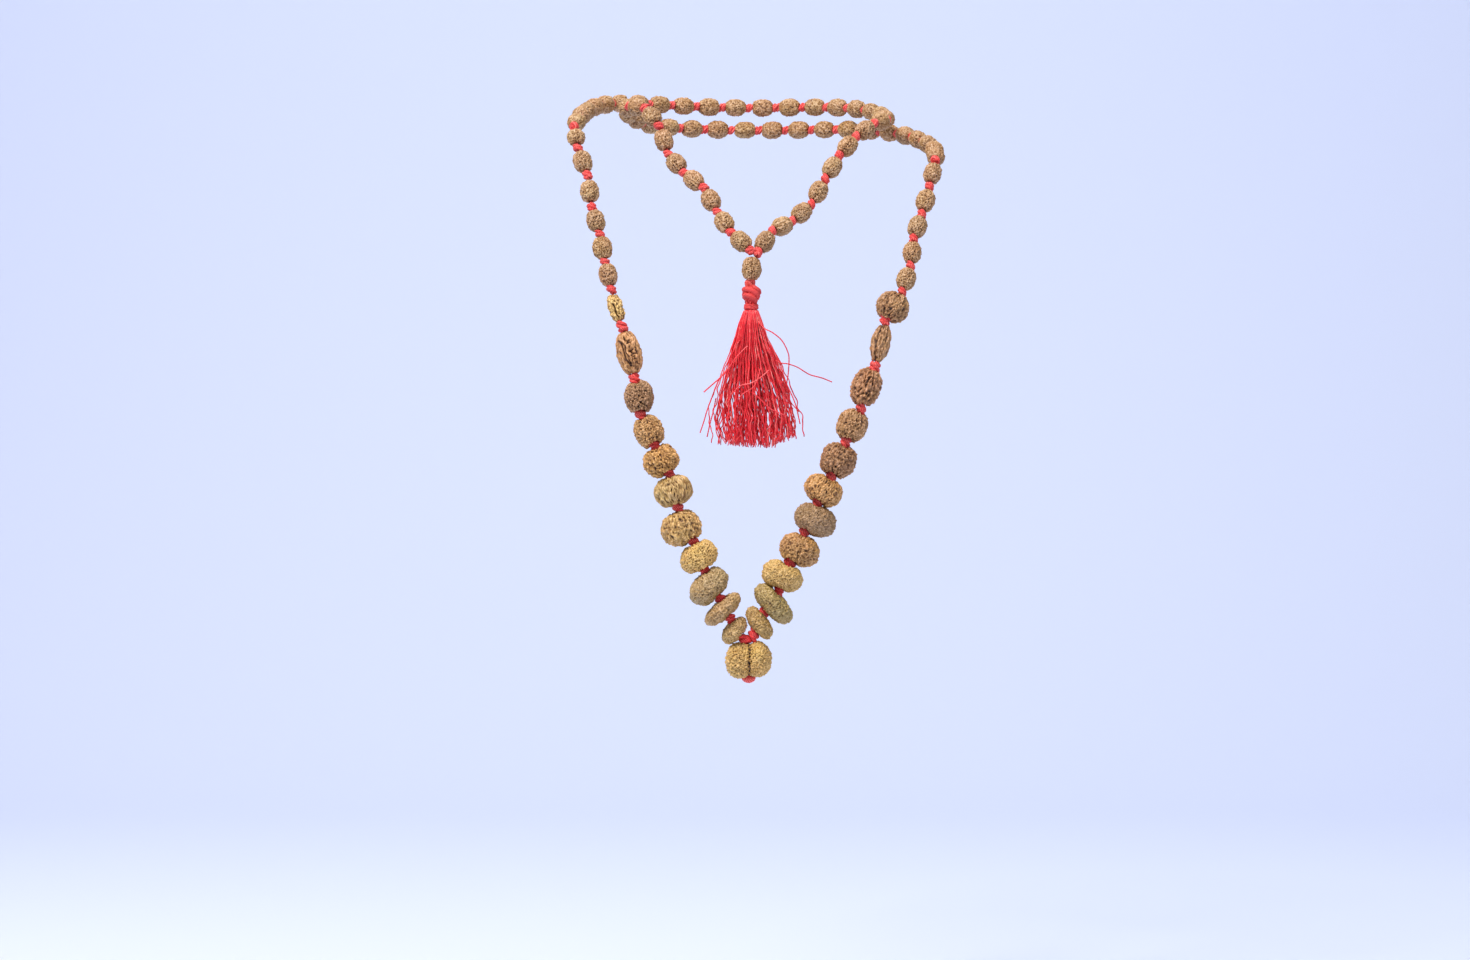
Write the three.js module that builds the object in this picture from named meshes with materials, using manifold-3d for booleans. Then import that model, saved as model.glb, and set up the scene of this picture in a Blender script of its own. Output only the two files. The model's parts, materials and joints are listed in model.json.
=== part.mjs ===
// A long string of knotted seed beads, worn doubled round the neck.
// One closed red cord carries small seeds behind the neck and over the shoulders, large seeds down an outer
// loop to a two-lobed bottom seed, and small seeds down a shorter inner loop to a guru bead with a tassel.
// Millimetres, +Z up, the wearer faces -Y. The origin is at the nape, where both strands cross behind the neck.

import * as THREE from 'three';
import { mergeVertices } from 'three/addons/utils/BufferGeometryUtils.js';
import Module from 'manifold-3d';

const wasm = await Module();
wasm.setup();

// ---------------------------------------------------------------- driving dimensions
const CORD_RADIUS = 0.6;        // plied cord inside the seeds
const BORE_RADIUS = 1.05;       // drilled hole through every seed
const KNOT_RADIUS = 2.0;        // knot between two seeds
const LOW_KNOT_RADIUS = 2.3;    // the heavier knots near the bottom of the outer loop
const CLEARANCE = 0.42;         // between a knot and what turns round it
const SMALL_WIDTH = 8.4;        // small five-faced seeds
const SMALL_LENGTH = 10.2;
const GURU_WIDTH = 8.8;
const GURU_LENGTH = 10.5;
const BOTTOM_LOBE_WIDTH = 11.2; // each lobe of the bottom seed
const BOTTOM_DEPTH = 13.0;
const BOTTOM_HEIGHT = 15.8;
const BALL_RADIUS = 3.85;       // ball knot over the tassel
const BINDING_RADIUS = 3.3;
const BINDING_HEIGHT = 2.6;
const TASSEL_LENGTH = 62.8;     // skirt, below its binding

// ---------------------------------------------------------------- where the knots lie
// left shoulder, round the nape above the other strand, to the right side of the neck
const BACK_UPPER = [
  [-81.45, -97.00, -14.25],
  [-79.66, -84.79, -9.10],
  [-78.07, -72.03, -5.36],
  [-75.82, -59.29, -1.93],
  [-72.18, -46.77, 1.12],
  [-66.58, -34.82, 3.32],
  [-59.01, -23.91, 4.66],
  [-49.52, -14.47, 5.32],
  [-38.65, -6.62, 5.58],
  [-26.78, -0.36, 5.68],
  [-14.03, 3.72, 5.71],
  [-0.73, 5.20, 5.70],
  [12.58, 4.05, 5.70],
  [25.38, 0.27, 5.48],
  [37.07, -6.18, 4.79],
  [47.10, -14.98, 3.45],
  [54.94, -25.55, 1.23],
  [60.25, -37.43, -1.84],
  [63.18, -50.08, -4.94],
  [63.39, -63.17, -7.67],
  [56.77, -74.50, -10.38],
];

// right shoulder, round the nape below the other strand, to the left side of the neck
const BACK_LOWER = [
  [84.17, -97.00, -29.61],
  [85.61, -84.26, -25.59],
  [84.21, -71.58, -21.31],
  [81.08, -59.14, -17.39],
  [76.44, -47.01, -14.02],
  [70.21, -35.46, -11.22],
  [62.32, -24.79, -8.96],
  [52.76, -15.51, -7.24],
  [41.83, -7.79, -6.17],
  [29.89, -1.56, -5.66],
  [17.17, 2.73, -5.43],
  [3.87, 4.53, -5.32],
  [-9.57, 3.95, -5.28],
  [-22.66, 0.83, -5.31],
  [-34.62, -5.28, -5.38],
  [-44.65, -14.22, -5.37],
  [-52.28, -25.26, -4.83],
  [-57.35, -37.63, -3.49],
  [-59.33, -50.84, -1.80],
  [-56.97, -64.04, -1.02],
  [-49.41, -75.00, -3.36],
];

// left shoulder, down over the chest, to the first large seed
const OUTER_LEFT = [
  [-81.45, -97.00, -14.25],
  [-79.34, -103.00, -24.80],
  [-74.76, -108.50, -37.67],
  [-72.56, -113.00, -52.64],
  [-68.79, -116.50, -65.10],
  [-66.43, -119.00, -77.62],
  [-63.51, -121.00, -89.94],
];

// right shoulder, down over the chest, to the first large seed
const OUTER_RIGHT = [
  [84.17, -97.00, -29.61],
  [81.10, -104.00, -42.46],
  [77.19, -109.50, -55.63],
  [73.25, -113.50, -66.97],
  [71.72, -117.50, -79.56],
  [67.61, -121.00, -91.51],
];

// the large seeds on the left side, down to the bottom seed
const LEFT_LARGE = [
  [-63.51, -121.00, -89.94],
  [-58.52, -123.20, -107.27],
  [-52.89, -124.60, -130.56],
  [-50.13, -125.00, -146.82],
  [-43.65, -125.00, -161.00],
  [-37.35, -125.00, -173.69],
  [-33.30, -125.00, -188.62],
  [-26.23, -125.00, -203.97],
  [-21.60, -125.00, -216.75],
  [-14.31, -125.00, -229.62],
  [-9.27, -125.00, -238.98],
  [-3.38, -125.00, -247.80],
];

// the large seeds on the right side, down to the bottom seed
const RIGHT_LARGE = [
  [67.61, -121.00, -91.51],
  [60.03, -123.00, -103.97],
  [55.37, -124.50, -125.38],
  [49.05, -125.00, -143.85],
  [42.21, -125.00, -159.15],
  [35.68, -125.00, -174.54],
  [29.61, -125.00, -186.51],
  [23.49, -125.00, -199.60],
  [17.05, -125.00, -213.56],
  [11.79, -125.00, -226.29],
  [5.40, -125.00, -235.65],
  [0.72, -125.00, -245.82],
];

// left side of the neck, down to the guru bead
const INNER_LEFT = [
  [-49.41, -75.00, -3.36],
  [-42.87, -82.50, -12.44],
  [-38.16, -88.50, -26.35],
  [-31.05, -95.50, -35.29],
  [-21.81, -102.00, -42.84],
  [-15.57, -107.50, -54.56],
  [-9.42, -113.00, -63.94],
  [-0.51, -118.00, -72.54],
];

// right side of the neck, down to the guru bead
const INNER_RIGHT = [
  [56.77, -74.50, -10.38],
  [48.34, -82.50, -17.53],
  [40.26, -89.50, -26.95],
  [33.86, -94.50, -38.18],
  [27.15, -98.50, -50.18],
  [18.35, -104.50, -58.29],
  [9.15, -111.50, -63.33],
  [2.61, -118.00, -73.44],
];

const LEFT_SEEDS = [
  { width: 6.8, length: 13.5, along: 0.0, aside: -0.4 },
  { width: 11.5, length: 19.4, along: 0.4, aside: 0.3 },
  { width: 13.0, length: 14.8, along: 0.3, aside: 0.6 },
  { width: 13.2, length: 13.9, along: 0.6, aside: 0.3 },
  { width: 16.3, length: 12.3, along: 0.0, aside: -0.7 },
  { width: 17.6, length: 13.2, along: -0.1, aside: -0.1 },
  { width: 18.5, length: 14.6, along: 0.6, aside: -2.6 },
  { width: 17.6, length: 11.6, along: 0.3, aside: -0.2, tilt: -14 },
  { width: 19.8, length: 12.0, along: 0.0, aside: -1.8, tilt: -16 },
  { width: 19.8, length: 7.7, along: -0.6, aside: -1.2, tilt: -14 },
  { width: 14.2, length: 7.7, along: -0.4, aside: -1.6, tilt: -16 },
];

const RIGHT_SEEDS = [
  { width: 15.0, length: 13.0, along: 0.6, aside: -0.0 },
  { width: 8.8, length: 17.3, along: 0.0, aside: 0.2 },
  { width: 13.2, length: 16.8, along: 0.1, aside: -0.9 },
  { width: 13.7, length: 14.6, along: 0.5, aside: -0.4 },
  { width: 15.9, length: 14.6, along: 0.6, aside: 0.1 },
  { width: 17.6, length: 11.7, along: 0.6, aside: -0.2 },
  { width: 19.0, length: 12.8, along: 0.2, aside: 2.2 },
  { width: 18.5, length: 13.2, along: 0.5, aside: 1.5 },
  { width: 19.0, length: 11.5, along: -0.2, aside: -0.9 },
  { width: 21.6, length: 9.8, along: 0.3, aside: 1.5, tilt: 14 },
  { width: 16.8, length: 8.0, along: -0.3, aside: -0.2, tilt: 30 },
];

// which knots are the pivots between two stretches of the string
const LEFT_PIVOTS = [4, 7];
const RIGHT_PIVOTS = [4, 7];
const INNER_LEFT_PIVOT = 4;
const INNER_RIGHT_PIVOT = 3;
const BOTTOM_CENTRE = [-1.55, -125, -257.6];
const TIE_KNOT = [-0.78, -125, -265.9];
const GURU_CENTRE = [-0.13, -118, -80.65];
const PENDANT_X = -0.35;
const PENDANT_Y = -118;
const LOOP_Z = -87.1;
const BALL_CENTRE_Z = -92.35;
const BINDING_TOP_Z = -96.6;

// ---------------------------------------------------------------- materials
const colour = (r, g, b) => new THREE.Color().setRGB(r, g, b, THREE.SRGBColorSpace);
const finish = (c, roughness) => new THREE.MeshStandardMaterial({ color: c, roughness, metalness: 0 });
const SMALL_SEED = () => finish(colour(0.62, 0.46, 0.29), 0.6);
const LARGE_SEED = () => finish(colour(0.70, 0.56, 0.33), 0.6);
const RED_CORD = () => finish(colour(0.83, 0.20, 0.19), 0.7);
const RED_SILK = () => finish(colour(0.74, 0.10, 0.14), 0.45);

// ---------------------------------------------------------------- solids
function solid(geometry) {
  geometry.deleteAttribute('normal');
  geometry.deleteAttribute('uv');
  const g = mergeVertices(geometry, 1e-4);
  const at = g.index.array;
  const tris = [];
  for (let i = 0; i < at.length; i += 3) {
    const [a, b, c] = [at[i], at[i + 1], at[i + 2]];
    if (a !== b && b !== c && a !== c) tris.push(a, b, c);
  }
  const p = g.attributes.position.array;
  let volume = 0;
  for (let i = 0; i < tris.length; i += 3) {
    const [a, b, c] = [tris[i] * 3, tris[i + 1] * 3, tris[i + 2] * 3];
    volume += p[a] * (p[b + 1] * p[c + 2] - p[b + 2] * p[c + 1])
      + p[a + 1] * (p[b + 2] * p[c] - p[b] * p[c + 2])
      + p[a + 2] * (p[b] * p[c + 1] - p[b + 1] * p[c]);
  }
  if (volume < 0) for (let i = 0; i < tris.length; i += 3) [tris[i], tris[i + 1]] = [tris[i + 1], tris[i]];
  return new wasm.Manifold(new wasm.Mesh({
    numProp: 3,
    vertProperties: new Float32Array(p),
    triVerts: new Uint32Array(tris),
  }));
}

function meshOf(name, shape, material) {
  const m = shape.getMesh();
  const g = new THREE.BufferGeometry();
  g.setAttribute('position', new THREE.BufferAttribute(new Float32Array(m.vertProperties), 3));
  g.setIndex(new THREE.BufferAttribute(new Uint32Array(m.triVerts), 1));
  g.computeVertexNormals();
  const mesh = new THREE.Mesh(g, material);
  mesh.name = name;
  return mesh;
}

const V = (a) => new THREE.Vector3(...a);
const UP = new THREE.Vector3(0, 1, 0);
const turnTo = (u) => new THREE.Quaternion().setFromUnitVectors(UP, u);
const placed = (geometry, q, at) => geometry.applyQuaternion(q).translate(at.x, at.y, at.z);

// closed profile of a seed, turned about its string axis: rounded sides, a dimple at each pole for the knot
function seedProfile(radius, half, pole, rings) {
  const points = [new THREE.Vector2(0, -pole)];
  const lip = Math.min(2.5, radius * 0.5);
  if (half - pole > 0.05) points.push(new THREE.Vector2(lip * 0.75, -pole));
  const n = rings;
  const start = Math.asin(Math.min(0.95, lip / radius));
  for (let i = 0; i <= n; i++) {
    const a = start + (Math.PI - 2 * start) * (i / n);
    const c = Math.cos(a);
    const y = -half * Math.sign(c) * Math.pow(Math.abs(c), 0.86) / Math.pow(Math.cos(start), 0.86);
    points.push(new THREE.Vector2(radius * Math.pow(Math.sin(a), 0.9), y));
  }
  if (half - pole > 0.05) points.push(new THREE.Vector2(lip * 0.75, pole));
  points.push(new THREE.Vector2(0, pole));
  return points;
}

function seedBody(width, length, pole, sides, rings, along = 0, aside = 0, tilt = 0) {
  const g = new THREE.LatheGeometry(seedProfile(width / 2, length / 2, pole, rings), sides);
  g.rotateZ(THREE.MathUtils.degToRad(tilt)).translate(aside, along, 0);
  return g;
}

// knots are balls, a little shorter along the string than they are wide
function knot(at, radius, sides = 6, rings = 4) {
  const g = new THREE.SphereGeometry(radius, sides, rings);
  return solid(g.translate(at.x, at.y, at.z));
}

function cordPiece(a, b) {
  const d = new THREE.Vector3().subVectors(b, a);
  const g = new THREE.CylinderGeometry(CORD_RADIUS, CORD_RADIUS, d.length(), 6, 1);
  return solid(placed(g, turnTo(d.clone().normalize()), new THREE.Vector3().addVectors(a, b).multiplyScalar(0.5)));
}

// a cord through the listed knots. A stretch that starts or ends at a pivot knot of its neighbour stops short of it.
function cordShape(points, { first = true, last = true, radii = [] } = {}) {
  const at = points.map(V);
  const r = (i) => radii[i] ?? KNOT_RADIUS;
  let shape = null;
  const add = (s) => { shape = shape ? shape.add(s) : s; };
  for (let i = 0; i + 1 < at.length; i++) {
    let [a, b] = [at[i].clone(), at[i + 1].clone()];
    const u = new THREE.Vector3().subVectors(b, a).normalize();
    if (i === 0 && !first) a.addScaledVector(u, r(0) + CLEARANCE);
    if (i + 2 === at.length && !last) b.addScaledVector(u, -(r(at.length - 1) + CLEARANCE));
    add(cordPiece(a, b));
  }
  at.forEach((p, i) => {
    if ((i === 0 && !first) || (i === at.length - 1 && !last)) return;
    add(knot(p, r(i)));
  });
  return shape;
}

const gapAt = (r) => r + CLEARANCE;

// one loose seed on the cord, with its bore, as a mesh placed between two knots
function seedBetween(name, a, b, spec, material, radii = [KNOT_RADIUS, KNOT_RADIUS], sides = 9, rings = 3) {
  const [p, q] = [V(a), V(b)];
  const d = new THREE.Vector3().subVectors(q, p);
  const chord = d.length();
  const u = d.normalize();
  const along = spec.along ?? 0;
  const aside = spec.aside ?? 0;
  // the seed's own x axis lies in the plane of the loop
  const lateral = new THREE.Vector3().crossVectors(u, new THREE.Vector3(0, 1, 0)).normalize();
  const basis = new THREE.Matrix4().makeBasis(lateral, u, new THREE.Vector3().crossVectors(lateral, u));
  const reach = Math.min(chord / 2 - gapAt(radii[0]) + along, chord / 2 - gapAt(radii[1]) - along);
  const pole = Math.min(spec.length / 2, reach);
  const tilt = spec.tilt ?? 0;
  const body = solid(seedBody(spec.width, spec.length, pole, sides, rings, along, aside, tilt));
  const bore = solid(new THREE.CylinderGeometry(BORE_RADIUS, BORE_RADIUS, spec.length + 6, 6, 1));
  let shape = body.subtract(bore);
  // a seed that hangs to one side of its bore, or is bored askew, needs room cut for the knots in its poles
  if (Math.abs(aside) > 0.8 || tilt) {
    for (const [y, r] of [[-chord / 2, radii[0]], [chord / 2, radii[1]]]) {
      shape = shape.subtract(solid(new THREE.SphereGeometry(gapAt(r) + 0.2, 8, 5).translate(0, y, 0)));
    }
  }
  const mesh = meshOf(name, shape, material);
  mesh.quaternion.setFromRotationMatrix(basis);
  mesh.position.addVectors(p, q).multiplyScalar(0.5);
  return mesh;
}

// a run of small seeds tied fast between their knots, made with its cord. Its inner knots are short barrels that
// reach into the seeds on both sides, and a knot at a free end is a ball that the next stretch pivots on.
function strungRun(name, points, { first, last, sides, rings, barrelSides = 6 }, material) {
  const at = points.map(V);
  const end = at.length - 1;
  const dirs = at.slice(1).map((p, i) => new THREE.Vector3().subVectors(p, at[i]).normalize());
  const half = dirs.map((_, i) => {
    const chord = at[i].distanceTo(at[i + 1]);
    const free = (i === 0 && !first) || (i === end - 1 && !last);
    const fit = Math.min(SMALL_LENGTH, chord - 2.6) / 2;
    return free ? Math.min(fit, chord / 2 - gapAt(KNOT_RADIUS) - 0.05) : fit;
  });
  let shape = null;
  const add = (x) => { shape = shape ? shape.add(x) : x; };
  dirs.forEach((d, i) => {
    const g = new THREE.LatheGeometry(seedProfile(SMALL_WIDTH / 2, half[i], half[i], rings), sides);
    const middle = new THREE.Vector3().addVectors(at[i], at[i + 1]).multiplyScalar(0.5);
    add(solid(placed(g, turnTo(d), middle)));
    if (i === 0) return;
    const reach = (j) => at[j].distanceTo(at[j + 1]) / 2 - half[j] + 0.5;
    const a = at[i].clone().addScaledVector(dirs[i - 1], -reach(i - 1));
    const b = at[i].clone().addScaledVector(d, reach(i));
    const u = new THREE.Vector3().subVectors(b, a);
    const barrel = new THREE.CylinderGeometry(KNOT_RADIUS, KNOT_RADIUS, u.length(), barrelSides, 1);
    add(solid(placed(barrel, turnTo(u.normalize()), new THREE.Vector3().addVectors(a, b).multiplyScalar(0.5))));
  });
  if (first) add(knot(at[0], KNOT_RADIUS));
  if (last) add(knot(at[end], KNOT_RADIUS));
  return meshOf(name, shape, material);
}

// ---------------------------------------------------------------- the string, from the nape down
const mala = new THREE.Group();
const back = { first: true, last: true, sides: 6, rings: 2, barrelSides: 4 };
mala.add(strungRun('back_strand_upper', BACK_UPPER, back, SMALL_SEED()));
mala.add(strungRun('back_strand_lower', BACK_LOWER, back, SMALL_SEED()));
const upper = { first: false, last: true, sides: 8, rings: 2 };
mala.add(strungRun('outer_upper_left_run', OUTER_LEFT, upper, SMALL_SEED()));
mala.add(strungRun('outer_upper_right_run', OUTER_RIGHT, upper, SMALL_SEED()));

// outer loop: three stretches of cord on each side, each with its own large seeds
for (const [side, knots, seeds, pivots] of [
  ['left', LEFT_LARGE, LEFT_SEEDS, LEFT_PIVOTS],
  ['right', RIGHT_LARGE, RIGHT_SEEDS, RIGHT_PIVOTS],
]) {
  const radii = knots.map((_, i) => (i >= knots.length - 1 || (side === 'right' && i === 8) ? LOW_KNOT_RADIUS : KNOT_RADIUS));
  const cuts = [0, ...pivots, knots.length - 1];
  ['middle', 'lower', 'point'].forEach((part, k) => {
    const [from, to] = [cuts[k], cuts[k + 1]];
    const shape = cordShape(knots.slice(from, to + 1), { first: false, radii: radii.slice(from, to + 1) });
    mala.add(meshOf(`${side}_${part}_cord`, shape, RED_CORD()));
  });
  seeds.forEach((s, i) => {
    const name = `${side}_seed_${String(i + 1).padStart(2, '0')}`;
    mala.add(seedBetween(name, knots[i], knots[i + 1], s, LARGE_SEED(), [radii[i], radii[i + 1]]));
  });
}

// inner loop: a stretch on each side of the neck, and the V that carries the guru bead
const small = { width: SMALL_WIDTH, length: SMALL_LENGTH };
const cords = [
  ['inner_left_cord', INNER_LEFT.slice(0, INNER_LEFT_PIVOT + 1), true],
  ['inner_right_cord', INNER_RIGHT.slice(0, INNER_RIGHT_PIVOT + 1), true],
];
for (const [name, points, last] of cords) mala.add(meshOf(name, cordShape(points, { first: false, last }), RED_CORD()));
const vPoints = [...INNER_LEFT.slice(INNER_LEFT_PIVOT), ...INNER_RIGHT.slice(INNER_RIGHT_PIVOT).reverse()];
mala.add(meshOf('inner_v_cord', cordShape(vPoints, { first: false, last: false }), RED_CORD()));
for (const [side, knots] of [['left', INNER_LEFT], ['right', INNER_RIGHT]]) {
  for (let i = 0; i + 1 < knots.length; i++) {
    const chord = V(knots[i]).distanceTo(V(knots[i + 1]));
    const spec = { ...small, length: Math.min(SMALL_LENGTH, chord - 2.6) };
    mala.add(seedBetween(`inner_${side}_seed_${i + 1}`, knots[i], knots[i + 1], spec, SMALL_SEED(), undefined, 8, 2));
  }
}

// guru bead on its own short cord, under the two knots where the inner loop meets
{
  const [cx, cy, cz] = GURU_CENTRE;
  const top = cz + GURU_LENGTH / 2;
  const body = solid(seedBody(GURU_WIDTH, GURU_LENGTH, GURU_LENGTH / 2, 10, 4));
  const bore = solid(new THREE.CylinderGeometry(BORE_RADIUS, BORE_RADIUS, GURU_LENGTH + 4, 8, 1));
  const guru = meshOf('guru_bead', body.subtract(bore), SMALL_SEED());
  guru.quaternion.setFromUnitVectors(UP, new THREE.Vector3(0, 0, 1));
  guru.position.set(cx, cy, cz);
  mala.add(guru);
  const cord = cordPiece(new THREE.Vector3(cx, cy, top - 0.1), new THREE.Vector3(cx, cy, LOOP_Z + 0.5))
    .add(knot(new THREE.Vector3(cx, cy, cz - GURU_LENGTH / 2 - 0.75), 0.62));
  mala.add(meshOf('guru_cord', cord, RED_CORD()));
}

// tassel: ball knot, wrapped binding, and the skirt of silk threads as one closed body
{
  const turned = (points, sides) => new THREE.LatheGeometry(points.map(([r, z]) => new THREE.Vector2(r, z)), sides);
  const ball = meshOf('tassel_ball_knot', solid(new THREE.SphereGeometry(BALL_RADIUS, 10, 7)), RED_CORD());
  ball.position.set(PENDANT_X, PENDANT_Y, BALL_CENTRE_Z);
  ball.rotation.x = Math.PI / 2;
  mala.add(ball);
  const binding = meshOf('tassel_binding', solid(turned([
    [0, -BINDING_HEIGHT], [BINDING_RADIUS, -BINDING_HEIGHT], [BINDING_RADIUS, -0.6], [BINDING_RADIUS - 0.9, 0], [0, 0],
  ], 12)), RED_CORD());
  binding.position.set(PENDANT_X, PENDANT_Y, BINDING_TOP_Z);
  binding.rotation.x = Math.PI / 2;
  mala.add(binding);
  // half width across the chest at each drop below the binding, and how much flatter the skirt is front to back
  const SKIRT = [[0, 3.3, 1], [6.3, 5.7, 0.95], [15.8, 8.6, 0.82], [25.2, 11.5, 0.72], [37.8, 15.8, 0.62], [50.4, 19.2, 0.58], [TASSEL_LENGTH, 19.8, 0.58]];
  const profile = [[0, 0], ...SKIRT.map(([z, r]) => [r, -z]), [0, -TASSEL_LENGTH]];
  const g = turned(profile.reverse(), 14);
  const p = g.attributes.position;
  for (let i = 0; i < p.count; i++) {
    const drop = -p.getY(i);
    let k = 1;
    for (let j = 0; j + 1 < SKIRT.length; j++) {
      const [z0, , f0] = SKIRT[j];
      const [z1, , f1] = SKIRT[j + 1];
      if (drop >= z0 - 1e-6 && drop <= z1 + 1e-6) k = f0 + (f1 - f0) * (drop - z0) / (z1 - z0);
    }
    p.setZ(i, p.getZ(i) * k);
  }
  const skirt = meshOf('tassel_skirt', solid(g), RED_SILK());
  skirt.position.set(PENDANT_X, PENDANT_Y, BINDING_TOP_Z - BINDING_HEIGHT - 0.35);
  skirt.rotation.x = Math.PI / 2;
  mala.add(skirt);
}

// bottom seed: two lobes grown together, both cord ends through one bore, tied off underneath
{
  const [cx, cy, cz] = BOTTOM_CENTRE;
  const lobe = (x) => solid(new THREE.SphereGeometry(1, 10, 6)
    .scale(BOTTOM_LOBE_WIDTH / 2, BOTTOM_HEIGHT / 2, BOTTOM_DEPTH / 2).translate(x, 0, 0));
  const bridge = solid(new THREE.SphereGeometry(1, 8, 6).scale(3.6, BOTTOM_HEIGHT * 0.43, BOTTOM_DEPTH * 0.36));
  let shape = lobe(-4.75).add(lobe(4.75)).add(bridge);
  shape = shape.subtract(solid(new THREE.CylinderGeometry(1.35, 1.35, BOTTOM_HEIGHT + 4, 8, 1)));
  // hollow at the top where the two last knots sit, as wide as they need to swing
  for (const k of [LEFT_LARGE.at(-1), RIGHT_LARGE.at(-1)]) {
    shape = shape.subtract(solid(new THREE.SphereGeometry(gapAt(LOW_KNOT_RADIUS) + 0.4, 7, 5)
      .translate(k[0] - cx, k[2] - cz, 0)));
  }
  // and at the bottom, for the tie knot
  shape = shape.subtract(solid(new THREE.SphereGeometry(2.7, 9, 6).translate(0, TIE_KNOT[2] - cz, 0)));
  const mesh = meshOf('bottom_double_seed', shape, LARGE_SEED());
  mesh.rotation.x = Math.PI / 2;
  mesh.position.set(cx, cy, cz);
  mala.add(mesh);
  const top = new THREE.Vector3(cx, cy, cz + 4.6);
  const tie = knot(new THREE.Vector3(cx, TIE_KNOT[1], TIE_KNOT[2]), 2.0);
  const core = solid(placed(new THREE.CylinderGeometry(0.95, 0.95, top.z - TIE_KNOT[2], 8, 1),
    turnTo(new THREE.Vector3(0, 0, 1)), new THREE.Vector3(cx, cy, (top.z + TIE_KNOT[2]) / 2)));
  mala.add(meshOf('bottom_tie_cord', core.add(tie), RED_CORD()));
}

export default mala;
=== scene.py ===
"""The looks of the knotted seed beads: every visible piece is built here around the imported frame.

The seeds are grids of points pushed in and out by seeded noise (ridges, pits, pole-to-pole furrows), each with its real
bore. The cord is swept thread, plied and knotted. The tassel is made of separate twisted threads.
Everything here is worked out in millimetres, as the frame's design is, and turned into metres when a mesh is made.
"""

import json
import math

import bpy
import numpy as np
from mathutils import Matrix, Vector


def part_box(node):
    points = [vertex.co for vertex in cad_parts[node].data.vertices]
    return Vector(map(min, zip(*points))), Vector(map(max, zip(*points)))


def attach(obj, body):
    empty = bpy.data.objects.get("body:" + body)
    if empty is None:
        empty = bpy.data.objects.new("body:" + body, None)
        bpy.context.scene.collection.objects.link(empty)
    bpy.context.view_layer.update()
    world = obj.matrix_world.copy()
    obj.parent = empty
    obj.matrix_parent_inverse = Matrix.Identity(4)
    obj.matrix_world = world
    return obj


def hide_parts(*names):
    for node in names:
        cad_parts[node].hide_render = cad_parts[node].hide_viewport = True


MM = 0.001
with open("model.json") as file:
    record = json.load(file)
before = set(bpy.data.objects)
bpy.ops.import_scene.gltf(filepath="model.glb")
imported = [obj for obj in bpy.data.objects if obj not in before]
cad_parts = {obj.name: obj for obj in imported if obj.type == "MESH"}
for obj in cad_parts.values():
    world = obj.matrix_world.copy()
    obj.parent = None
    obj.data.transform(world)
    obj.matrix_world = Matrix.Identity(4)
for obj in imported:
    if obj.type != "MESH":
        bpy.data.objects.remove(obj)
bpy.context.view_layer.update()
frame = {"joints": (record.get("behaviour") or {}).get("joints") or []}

def box(node):
    """A node's lowest corner, highest corner and middle in the frame, in mm."""
    low, high = (np.array(corner, float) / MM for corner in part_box(node))
    return low, high, (low + high) / 2


# ------------------------------------------------------------------------------------------------ the string, in mm
BACK_UPPER = [
    (-81.45, -97.00, -14.25), (-79.66, -84.79, -9.10), (-78.07, -72.03, -5.36), (-75.82, -59.29, -1.93),
    (-72.18, -46.77, 1.12), (-66.58, -34.82, 3.32), (-59.01, -23.91, 4.66), (-49.52, -14.47, 5.32),
    (-38.65, -6.62, 5.58), (-26.78, -0.36, 5.68), (-14.03, 3.72, 5.71), (-0.73, 5.20, 5.70),
    (12.58, 4.05, 5.70), (25.38, 0.27, 5.48), (37.07, -6.18, 4.79), (47.10, -14.98, 3.45),
    (54.94, -25.55, 1.23), (60.25, -37.43, -1.84), (63.18, -50.08, -4.94), (63.39, -63.17, -7.67),
    (56.77, -74.50, -10.38),
]
BACK_LOWER = [
    (84.17, -97.00, -29.61), (85.61, -84.26, -25.59), (84.21, -71.58, -21.31), (81.08, -59.14, -17.39),
    (76.44, -47.01, -14.02), (70.21, -35.46, -11.22), (62.32, -24.79, -8.96), (52.76, -15.51, -7.24),
    (41.83, -7.79, -6.17), (29.89, -1.56, -5.66), (17.17, 2.73, -5.43), (3.87, 4.53, -5.32),
    (-9.57, 3.95, -5.28), (-22.66, 0.83, -5.31), (-34.62, -5.28, -5.38), (-44.65, -14.22, -5.37),
    (-52.28, -25.26, -4.83), (-57.35, -37.63, -3.49), (-59.33, -50.84, -1.80), (-56.97, -64.04, -1.02),
    (-49.41, -75.00, -3.36),
]
OUTER_LEFT = [
    (-81.45, -97.00, -14.25), (-79.34, -103.00, -24.80), (-74.76, -108.50, -37.67), (-72.56, -113.00, -52.64),
    (-68.79, -116.50, -65.10), (-66.43, -119.00, -77.62), (-63.51, -121.00, -89.94),
]
OUTER_RIGHT = [
    (84.17, -97.00, -29.61), (81.10, -104.00, -42.46), (77.19, -109.50, -55.63), (73.25, -113.50, -66.97),
    (71.72, -117.50, -79.56), (67.61, -121.00, -91.51),
]
LEFT_LARGE = [
    (-63.51, -121.00, -89.94), (-58.52, -123.20, -107.27), (-52.89, -124.60, -130.56), (-50.13, -125.00, -146.82),
    (-43.65, -125.00, -161.00), (-37.35, -125.00, -173.69), (-33.30, -125.00, -188.62), (-26.23, -125.00, -203.97),
    (-21.60, -125.00, -216.75), (-14.31, -125.00, -229.62), (-9.27, -125.00, -238.98), (-3.38, -125.00, -247.80),
]
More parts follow.
